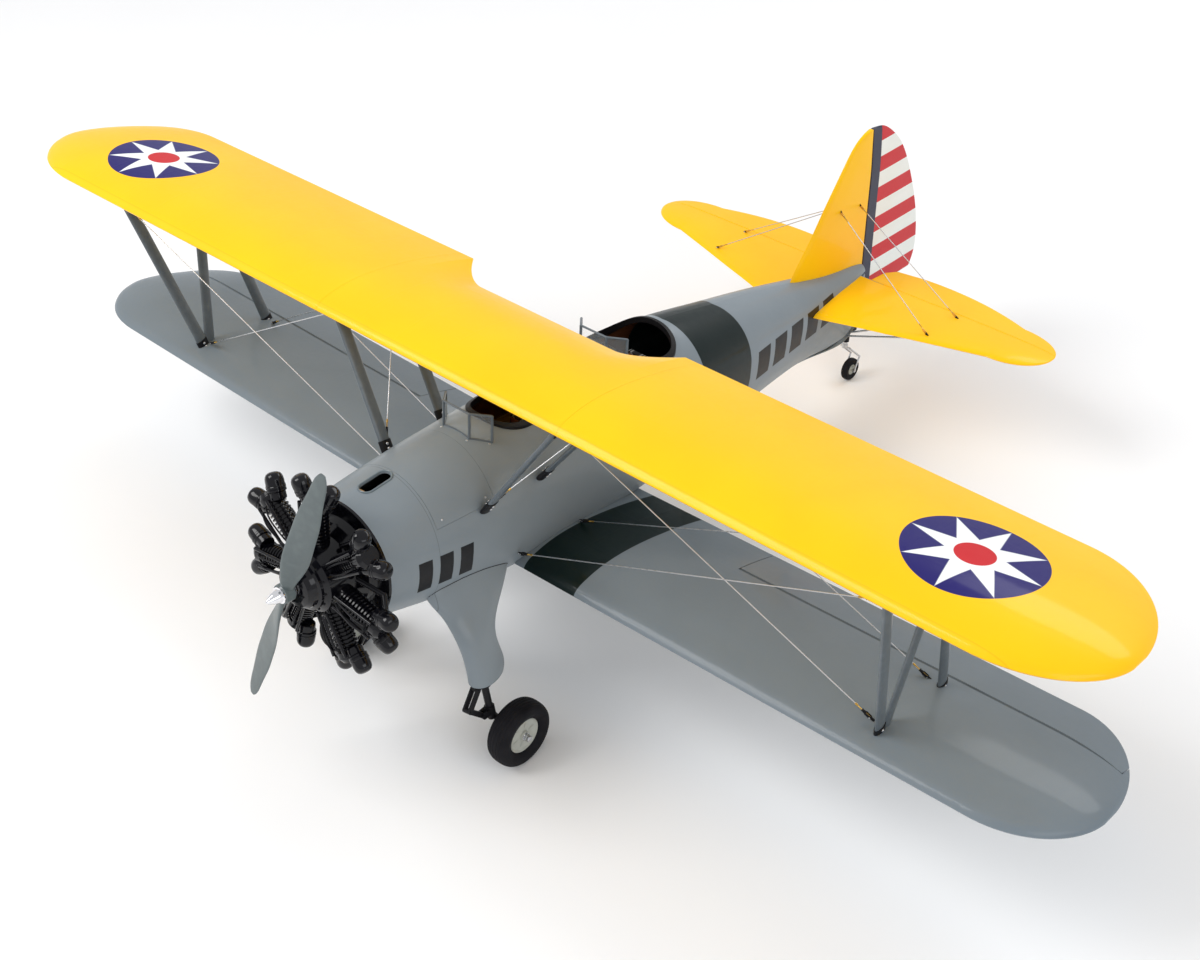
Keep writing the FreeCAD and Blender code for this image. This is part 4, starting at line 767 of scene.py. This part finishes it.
wheel("tail_wheel", Vector((0, 981, -195)), "tail_wheel_body", 19.5, 13.0, 9.0, 1.56, (0.0,),
      ["tail_wheel"])


# ---------------------------------------------------------------- rigging ends

# Wire ends on the port side. The wing has two flying wires, two landing wires and the cabane's
# cross wire.
WING_WIRES = (((94, 70, -58), (646, 24, 196)), ((94, 190, -66), (642, 158, 190)),
              ((212, 30, 196), (612, 118, -50)), ((214, 142, 190), (614, 240, -62)),
              ((101, 16, 58), (200, 126, 190)))
TAIL_WIRES = (((7, 880, 133), (203, 852, 7)), ((7, 934, 127), (207, 931, 7)))


def both_sides(line):
    """A port-side line's two end points, then those of its mirror image."""
    for sign in (1, -1):
        yield tuple(Vector((sign * x, y, z)) for x, y, z in line)


def wire_ends(wires):
    """Each end of each wire on both sides, with the sideways and upward ways square to it."""
    for wire in wires:
        for start, stop in both_sides(wire):
            for end, other in ((start, stop), (stop, start)):
                way = (other - end).normalized()
                yield (end, way) + frame_for(way)


def clevis(bodies, threads, pins, end, way, side, up):
    """Forked link with its cross pin, lock nut and threaded coupler."""
    lathe(threads, end + way * 2.2, way, [(0.9, 0), (0.9, 7.0)], 10)
    for offset in (-1, 1):
        rounded_plate(bodies, end + way * 4.5 + side * (offset * 1.35), way, up,
                      side * (offset * 0.6), 10.0, 3.6, 1.6)
    lathe(bodies, end + way * 8.2, way, [(1.5, 0), (2.0, 0.7), (2.0, 3.0), (1.5, 4.2)], 16)
    hex_nut(bodies, end + way * 12.6, way, 2.1, 1.5)
    threaded(threads, end + way * 12.0, way, 0.95, 9.0)
    lathe(threads, end + way * 20.6, way, [(0.9, 0), (1.3, 0.3), (1.3, 3.4), (0.75, 4.4)], 12)
    lathe(pins, end + way * 1.2 - side * 2.9, side,
          [(0.5, 0), (1.1, 0.2), (1.1, 0.8), (0.65, 0.9), (0.65, 4.6), (1.1, 4.7), (1.1, 5.4),
           (0.5, 5.8)], 16)


link_bodies, link_threads, link_pins = bmesh.new(), bmesh.new(), bmesh.new()
for end, way, side, up in wire_ends(WING_WIRES):
    clevis(link_bodies, link_threads, link_pins, end, way, side, up)
tail_links = bmesh.new()
for end, way, side, up in wire_ends(TAIL_WIRES):
    for offset in (-1, 1):
        rounded_plate(tail_links, end + way * 4.0 + side * (offset * 0.9), way, up,
                      side * (offset * 0.4), 8.0, 2.4, 1.1)
    lathe(tail_links, end + way * 7.0, way, [(1.0, 0), (1.3, 0.4), (1.3, 3.2), (0.9, 3.8)], 14)
    threaded(tail_links, end + way * 10.6, way, 0.85, 8.0)
make("tail_wire_links", tail_links, BRASS, "airframe", ["wire_clevises"])
make("clevis_bodies", link_bodies, SATIN_BLACK, "airframe", ["wire_clevises"])
make("clevis_threads", link_threads, BRASS, "airframe")
make("clevis_pins", link_pins, STEEL, "airframe")


# ---------------------------------------------------------------- strut ends

# foot and head of the cabane and interplane struts on the port side
STRUTS = (((92, 10, 44), (199, 26, 208)), ((93, 112, 46), (207, 134, 203)),
          ((627, 116, -62), (659, 25, 208)), ((632, 245, -72), (654, 160, 202)))
screws, brackets = bmesh.new(), bmesh.new()
for strut in STRUTS:
    for foot, head in both_sides(strut):
        axis = (head - foot).normalized()
        aft = (Y - axis * axis.dot(Y)).normalized()
        across = axis.cross(aft)
        for face in (1, -1):
            for reach in (3.0, 9.5):
                cap_screw(screws, foot + axis * reach + across * (face * 4.2), across * face,
                          2.0, 1.5)
            top = head - axis * 15.0 + across * (face * 3.7)
            rounded_plate(brackets, top, axis, aft, across * (face * 0.9), 16.0, 9.0, 2.5)
            cap_screw(screws, top + across * (face * 0.9) - axis * 3.4, across * face, 1.7, 1.2)
make("strut_screws", screws, STEEL, "airframe")
make("strut_top_brackets", brackets, SATIN_BLACK, "airframe")

# tabs that the wires are pinned to, on the fuselage, wings and tail
tabs, tab_screws = bmesh.new(), bmesh.new()
for end, way, side, up in wire_ends(WING_WIRES + TAIL_WIRES):
    rounded_plate(tabs, end - way * 2.2 - side * 0.5, way, up, side * 1.0, 7.0, 3.8, 1.7)
    cap_screw(tab_screws, end - way * 4.0 + side * 0.5, side, 1.2, 0.8)
make("wire_tabs", tabs, SATIN_BLACK, "airframe")
make("wire_tab_screws", tab_screws, STEEL, "airframe")


# ---------------------------------------------------------------- engine details

ENGINE_Y = -187.0
CYLINDERS = 7


def spun(point, index):
    """A point on the upright cylinder turned to another cylinder's place."""
    return Matrix.Rotation(index * 2 * math.pi / CYLINDERS, 3, "Y") @ point


# (radius, height) of a rocker housing from its flange, past the joint ring, to its domed end
ROCKER_PROFILE = [(10.6, 0), (11.0, 3), (10.7, 5), (10.9, 8.6), (12.0, 9.6), (12.5, 10.2),
                  (12.5, 12.6), (11.9, 13.0), (11.9, 13.5), (12.5, 13.9), (12.5, 16.2),
                  (11.9, 17.0), (11.9, 23.0), (11.5, 26.5), (10.6, 29.4), (8.9, 31.8),
                  (6.4, 33.2), (3.2, 33.9)]
rockers, studs, leads = bmesh.new(), bmesh.new(), bmesh.new()
for index in range(CYLINDERS):
    for side in (-1, 1):
        foot = Vector((side * 12.5, ENGINE_Y, 103.0))
        lean = Vector((side * 0.42, 0.15 * side, 0.9)).normalized()
        foot, lean = spun(foot, index), spun(lean, index).normalized()
        lathe(rockers, foot, lean, ROCKER_PROFILE, 48)
        a, b = frame_for(lean)
        for k in range(8):
            turn = math.pi * (k + 0.5) / 4
            out = a * math.cos(turn) + b * math.sin(turn)
            hex_nut(studs, foot + out * 11.4 + lean * 16.0, lean, 1.2, 1.7)
    for side in (-1, 1):
        plug = spun(Vector((side * 4.0, ENGINE_Y - 13.0, 97.0)), index)
        out = spun(Vector((side * 0.25, -0.9, 0.35)), index).normalized()
        lathe(studs, plug, out, [(1.9, 0), (1.9, 1.6), (1.2, 2.0), (1.2, 4.4), (0.7, 5.0)], 12)
        bend = spun(Vector((side * 7.0, ENGINE_Y - 23.0, 84.0)), index)
        inner = spun(Vector((side * 6.0, ENGINE_Y - 21.0, 62.0)), index)
        home = spun(Vector((side * 4.0, ENGINE_Y - 17.0, 46.0)), index)
        path = [plug + out * 4.6, plug + out * 7.0, bend, inner, home]
        tube(leads, smooth(path), 1.1, 8)
make("rocker_housings", rockers, GLOSS_BLACK, "airframe", ["rocker_boxes"], 30)
make("engine_studs", studs, SATIN_BLACK, "airframe")
make("ignition_leads", leads, SATIN_BLACK, "airframe")

case_bolts = bmesh.new()
for ring_radius, number, size in ((38.0, 14, 1.7), (20.0, 9, 1.5)):
    for k in range(number):
        angle = 2 * math.pi * (k + 0.5) / number
        start = Vector((ring_radius * math.sin(angle), -300, ring_radius * math.cos(angle)))
        spot, normal = landed(("engine_crankcase",), start, Y)
        hex_nut(case_bolts, spot - normal * 0.2, normal, size, 1.5)
make("crankcase_bolts", case_bolts, SATIN_BLACK, "airframe")


# ---------------------------------------------------------------- nose and cockpit details

SKIN = ("fuselage_shell", "top_hatch")


def deck_point(x, y):
    """Where a ray straight down meets the top of the fuselage."""
    spot, _ = landed(SKIN, Vector((x, y, 160)), -Z)
    return spot


SLOT_Y = -94.0
SLOT_HALF_RUN = 14.0
SLOT_RADIUS = 10.6
SLOT_POINTS = 72
lip = bmesh.new()
lip_points = []
for k in range(SLOT_POINTS):
    angle = 2 * math.pi * k / SLOT_POINTS
    end_y = SLOT_Y + math.copysign(SLOT_HALF_RUN, math.sin(angle))
    lip_points.append(deck_point(math.cos(angle) * SLOT_RADIUS,
                                 end_y + math.sin(angle) * SLOT_RADIUS) + Z * 0.5)
rings = []
for k, point in enumerate(lip_points):
    ahead = lip_points[(k + 1) % SLOT_POINTS] - lip_points[k - 1]
    rings.append(ring(lip, point, *frame_for(ahead), 1.3, 10))
for first, second in zip(rings, rings[1:] + rings[:1]):
    bridge(lip, first, second)
make("cooling_slot_lip", lip, GREY_TRIM, "airframe")

cowl_screws = bmesh.new()
for x_side in (-1, 1):
    for y_station in (-54.0, 18.0):
        spot, normal = landed(SKIN, Vector((x_side * 160, y_station, 50)), X * -x_side)
        cap_screw(cowl_screws, spot - normal * 0.25, normal, 1.5, 0.7)
make("cowl_screws", cowl_screws, STEEL, "airframe")


def seam_line(sign):
    """Where the leg fairing's skin comes out of the fuselage side, from front to rear."""
    line = []
    fairing = ("gear_leg_fairing_" + ("left" if sign > 0 else "right"),)
    for step in range(37):
        y_station = -84.0 + 150.0 * step / 36
        for drop in range(120):
            start = Vector((sign * 200.0, y_station, -46.0 - drop * 0.5))
            try:
                outer, _ = landed(fairing, start, X * -sign)
                skin, _ = landed(("fuselage_shell",), start, X * -sign)
            except RuntimeError:
                continue
            if abs(outer.x) >= abs(skin.x):
                line.append(skin)
                break
    return line


seams = bmesh.new()
for sign in (1, -1):
    tube(seams, seam_line(sign), 0.7, 8)
make("fairing_seams", seams, SATIN_BLACK, "airframe")


def screen_frame(bm, screw_mesh, base_y, height):
    """Bars round the three panes of a windscreen, and the screws at its feet."""
    half_width, reach, rake = 42.0, 22.0, math.radians(12.0)
    corners = [(-half_width, base_y + reach), (-half_width * 0.55, base_y),
               (half_width * 0.55, base_y), (half_width, base_y + reach)]
    crown = deck_point(0, base_y).z + height
    feet = [deck_point(x, y) for x, y in corners]
    heads = [Vector((x, y, crown - math.tan(rake) * (y - base_y))) for x, y in corners]
    for foot, head in zip(feet, heads):
        tube(bm, [foot, head], 1.9, 12)
    tube(bm, heads, 1.5, 12)
    for start, stop in zip(corners, corners[1:]):
        line = [deck_point(start[0] + (stop[0] - start[0]) * share / 6,
                           start[1] + (stop[1] - start[1]) * share / 6) + Z * 0.6
                for share in range(7)]
        tube(bm, line, 1.2, 8)
    for (x, y), foot in zip(corners, feet):
        spot, normal = landed(SKIN, Vector((x, y - 4.5, 160)), -Z)
        cap_screw(screw_mesh, spot - normal * 0.2, normal, 1.6, 1.0)


frames, frame_screws = bmesh.new(), bmesh.new()
for base_y, height in SCREENS:
    screen_frame(frames, frame_screws, base_y, height)
make("windscreen_frames", frames, STRUT_GREY, "airframe")
make("windscreen_screws", frame_screws, STEEL, "airframe")


def cushion(name, centre, length, width, thick, long_way, wide_way):
    """Crowned seat cushion with a piped edge and two sewn channels."""
    bm = bmesh.new()
    up = long_way.cross(wide_way).normalized()
    count = 24
    grid = []
    for face in (1, -1):
        rows = []
        for i in range(count + 1):
            row = []
            for j in range(count + 1):
                u, v = 2 * i / count - 1, 2 * j / count - 1
                crown = (1 - abs(u) ** 4) * (1 - abs(v) ** 4)
                pull = (1 - 0.05 * (1 - u * u) * abs(v) ** 6
                        - 0.05 * (1 - v * v) * abs(u) ** 6)
                seam = 0.35 * math.exp(-((abs(v) - 0.34) / 0.04) ** 2) if face > 0 else 0.0
                lift = face * (thick * (0.42 if face > 0 else 0.3) * crown ** 0.5 * (1 - seam)
                               + thick * 0.08)
                row.append(bm.verts.new(centre + long_way * (u * pull * length / 2)
                                        + wide_way * (v * pull * width / 2) + up * lift))
            rows.append(row)
        grid.append(rows)
    for rows in grid:
        for i in range(count):
            for j in range(count):
                bm.faces.new((rows[i][j], rows[i + 1][j], rows[i + 1][j + 1], rows[i][j + 1]))
    top, bottom = grid
    edge = ([(0, j) for j in range(count)] + [(i, count) for i in range(count)]
            + [(count, j) for j in range(count, 0, -1)] + [(i, 0) for i in range(count, 0, -1)])
    for first, second in zip(edge, edge[1:] + edge[:1]):
        bm.faces.new((top[first[0]][first[1]], top[second[0]][second[1]],
                      bottom[second[0]][second[1]], bottom[first[0]][first[1]]))
    piece = make(name, bm, SEAT, "airframe", sharp=80)


for order, cockpit_y in enumerate(COCKPITS):
    cushion("seat_pad_%d" % order, Vector((0, cockpit_y + 14.0, 18.2)), 50, 40, 7, X, Y)
    cushion("seat_back_pad_%d" % order, Vector((0, cockpit_y + 31.0, 40)), 50, 32, 5, X, Z)


# ---------------------------------------------------------------- control surface hinges

def hinge(knuckles, leaves, spot, axis, aft, up):
    """Small pinned hinge: a barrel on the hinge line and a leaf on the fixed side."""
    for step in (-1, 0, 1):
        lathe(knuckles, spot + axis * (step * 3.0 - 1.4), axis,
              [(0.5, 0), (0.95, 0.1), (0.95, 2.7), (0.5, 2.8)], 12)
    rounded_plate(leaves, spot - aft * 4.2 - up * 0.35, axis, aft, up * 0.7, 8.4, 6.0, 1.0)


# hinges stand on the lower wing's upper skin, level with the aileron's pivot
AILERON_HINGE_Y, AILERON_HINGE_Z = 186.0, 6.98
knuckles, leaves = bmesh.new(), bmesh.new()
for sign in (1, -1):
    turn = (Matrix.Translation(LOWER_WING_ROOT) @ Matrix.Rotation(-DIHEDRAL, 4, "Y")
            @ Matrix.Rotation(-INCIDENCE, 4, "X"))
    mirror = Matrix.Diagonal((sign, 1, 1, 1))
    for span in (340.0, 450.0, 560.0, 670.0, 780.0):
        spot = mirror @ (turn @ Vector((span, AILERON_HINGE_Y, AILERON_HINGE_Z)))
        hinge(knuckles, leaves, spot, (mirror.to_3x3() @ (turn.to_3x3() @ X)).normalized(),
              turn.to_3x3() @ Y, turn.to_3x3() @ Z)
    for span in (90.0, 210.0, 330.0):
        hinge(knuckles, leaves, Vector((sign * span, ELEVATOR_HINGE_Y, 0)), X, Y, Z)
lean = Vector((0, -math.tan(RUDDER_SWEEP), 1)).normalized()
for height in (40.0, 120.0, 205.0):
    spot = Vector((0, RUDDER_HINGE_Y, 0)) + lean * height
    hinge(knuckles, leaves, spot, lean, (Y - lean * lean.dot(Y)).normalized(), X)
make("hinge_knuckles", knuckles, STEEL, "airframe")
make("hinge_leaves", leaves, SATIN_BLACK, "airframe")


# ---------------------------------------------------------------- floor, light and camera

def floor():
    """Plain pale floor, curving up far behind the model."""
    bm = bmesh.new()
    reach, columns, bend, start = 9000.0, 24, 2500, 6000.0
    profile = [(-reach, 0.0), (-start / 2, 0.0), (start / 2, 0.0), (start, 0.0)]
    profile += [(start + bend * math.sin(a * math.pi / 32),
                 bend * (1 - math.cos(a * math.pi / 32))) for a in range(1, 17)]
    profile.append((start + bend, reach))
    rows = [[bm.verts.new(Vector((-reach + 2 * reach * c / columns, y, z)) * MM)
             for c in range(columns + 1)] for y, z in profile]
    for first, second in zip(rows, rows[1:]):
        for c in range(columns):
            bm.faces.new((first[c], first[c + 1], second[c + 1], second[c]))
    mesh = bpy.data.meshes.new("studio_floor")
    bm.to_mesh(mesh)
    bm.free()
    mesh.polygons.foreach_set("use_smooth", [True] * len(mesh.polygons))
    mat = new_material("studio_floor_paper", rough=0.9, specular=0.1)
    where = mat.node_tree.nodes.new("ShaderNodeTexCoord").outputs["Object"]
    grain = noise(mat, where, 3.0, 3.0)
    set_colour(mat, mix(mat, grain, (0.86, 0.86, 0.86), (0.89, 0.89, 0.89)))
    mesh.materials.append(mat)
    piece = bpy.data.objects.new("studio_floor", mesh)
    bpy.context.scene.collection.objects.link(piece)


def area_light(name, place_at, aim, size, power, colour=(1, 1, 1)):
    data = bpy.data.lights.new(name, "AREA")
    data.shape = "RECTANGLE"
    data.size, data.size_y = size
    data.energy = power
    data.color = colour
    lamp = bpy.data.objects.new(name, data)
    lamp.location = place_at
    lamp.rotation_mode = "QUATERNION"
    lamp.rotation_quaternion = (Vector(aim) - Vector(place_at)).to_track_quat("-Z", "Y")
    bpy.context.scene.collection.objects.link(lamp)


def studio():
    world = bpy.data.worlds.new("studio_world")
    bpy.context.scene.world = world
    world.use_nodes = True
    background = world.node_tree.nodes["Background"]
    background.inputs["Color"].default_value = (0.97, 0.98, 1.0, 1.0)
    background.inputs["Strength"].default_value = 0.72
    area_light("key", (-1.8, -2.4, 3.4), (0, 0, 0.3), (2.2, 2.2), 110.0, (1.0, 0.99, 0.98))
    area_light("fill", (3.4, -1.0, 2.2), (0, 0, 0.2), (2.6, 1.6), 30.0, (0.94, 0.97, 1.0))
    area_light("rim", (0.5, 3.4, 2.8), (0, 0, 0.3), (3.0, 1.2), 40.0)


def photo_camera():
    """Camera at the photograph's viewing angle, given in the upper wing's frame."""
    azimuth, elevation, roll = (math.radians(v) for v in (39.27, 31.64, 4.83))
    back = Vector((math.sin(azimuth) * math.cos(elevation),
                   -math.cos(azimuth) * math.cos(elevation), math.sin(elevation)))
    side = Z.cross(back).normalized()
    up = back.cross(side)
    side, up = (side * math.cos(roll) + up * math.sin(roll),
                up * math.cos(roll) - side * math.sin(roll))
    wing = Matrix.Translation(UPPER_WING_ROOT) @ Matrix.Rotation(-INCIDENCE, 4, "X")
    turn = Matrix.Rotation(-TILT - INCIDENCE, 3, "X")
    basis = Matrix([turn @ side, turn @ up, turn @ back]).transposed()
    data = bpy.data.cameras.new("photo_camera")
    data.lens, data.sensor_width = 52.64, 36.0
    data.shift_x, data.shift_y = 0.00686, -0.00524
    data.clip_start, data.clip_end = 0.05, 60.0
    camera = bpy.data.objects.new("photo_camera", data)
    spot = LEVEL @ (wing @ Vector((1358.17, -1330.06, 1033.87)))
    camera.matrix_world = Matrix.Translation(spot) @ basis.to_4x4()
    bpy.context.scene.collection.objects.link(camera)
    bpy.context.scene.camera = camera


floor()
studio()
photo_camera()
bpy.context.scene.view_settings.view_transform = "Standard"
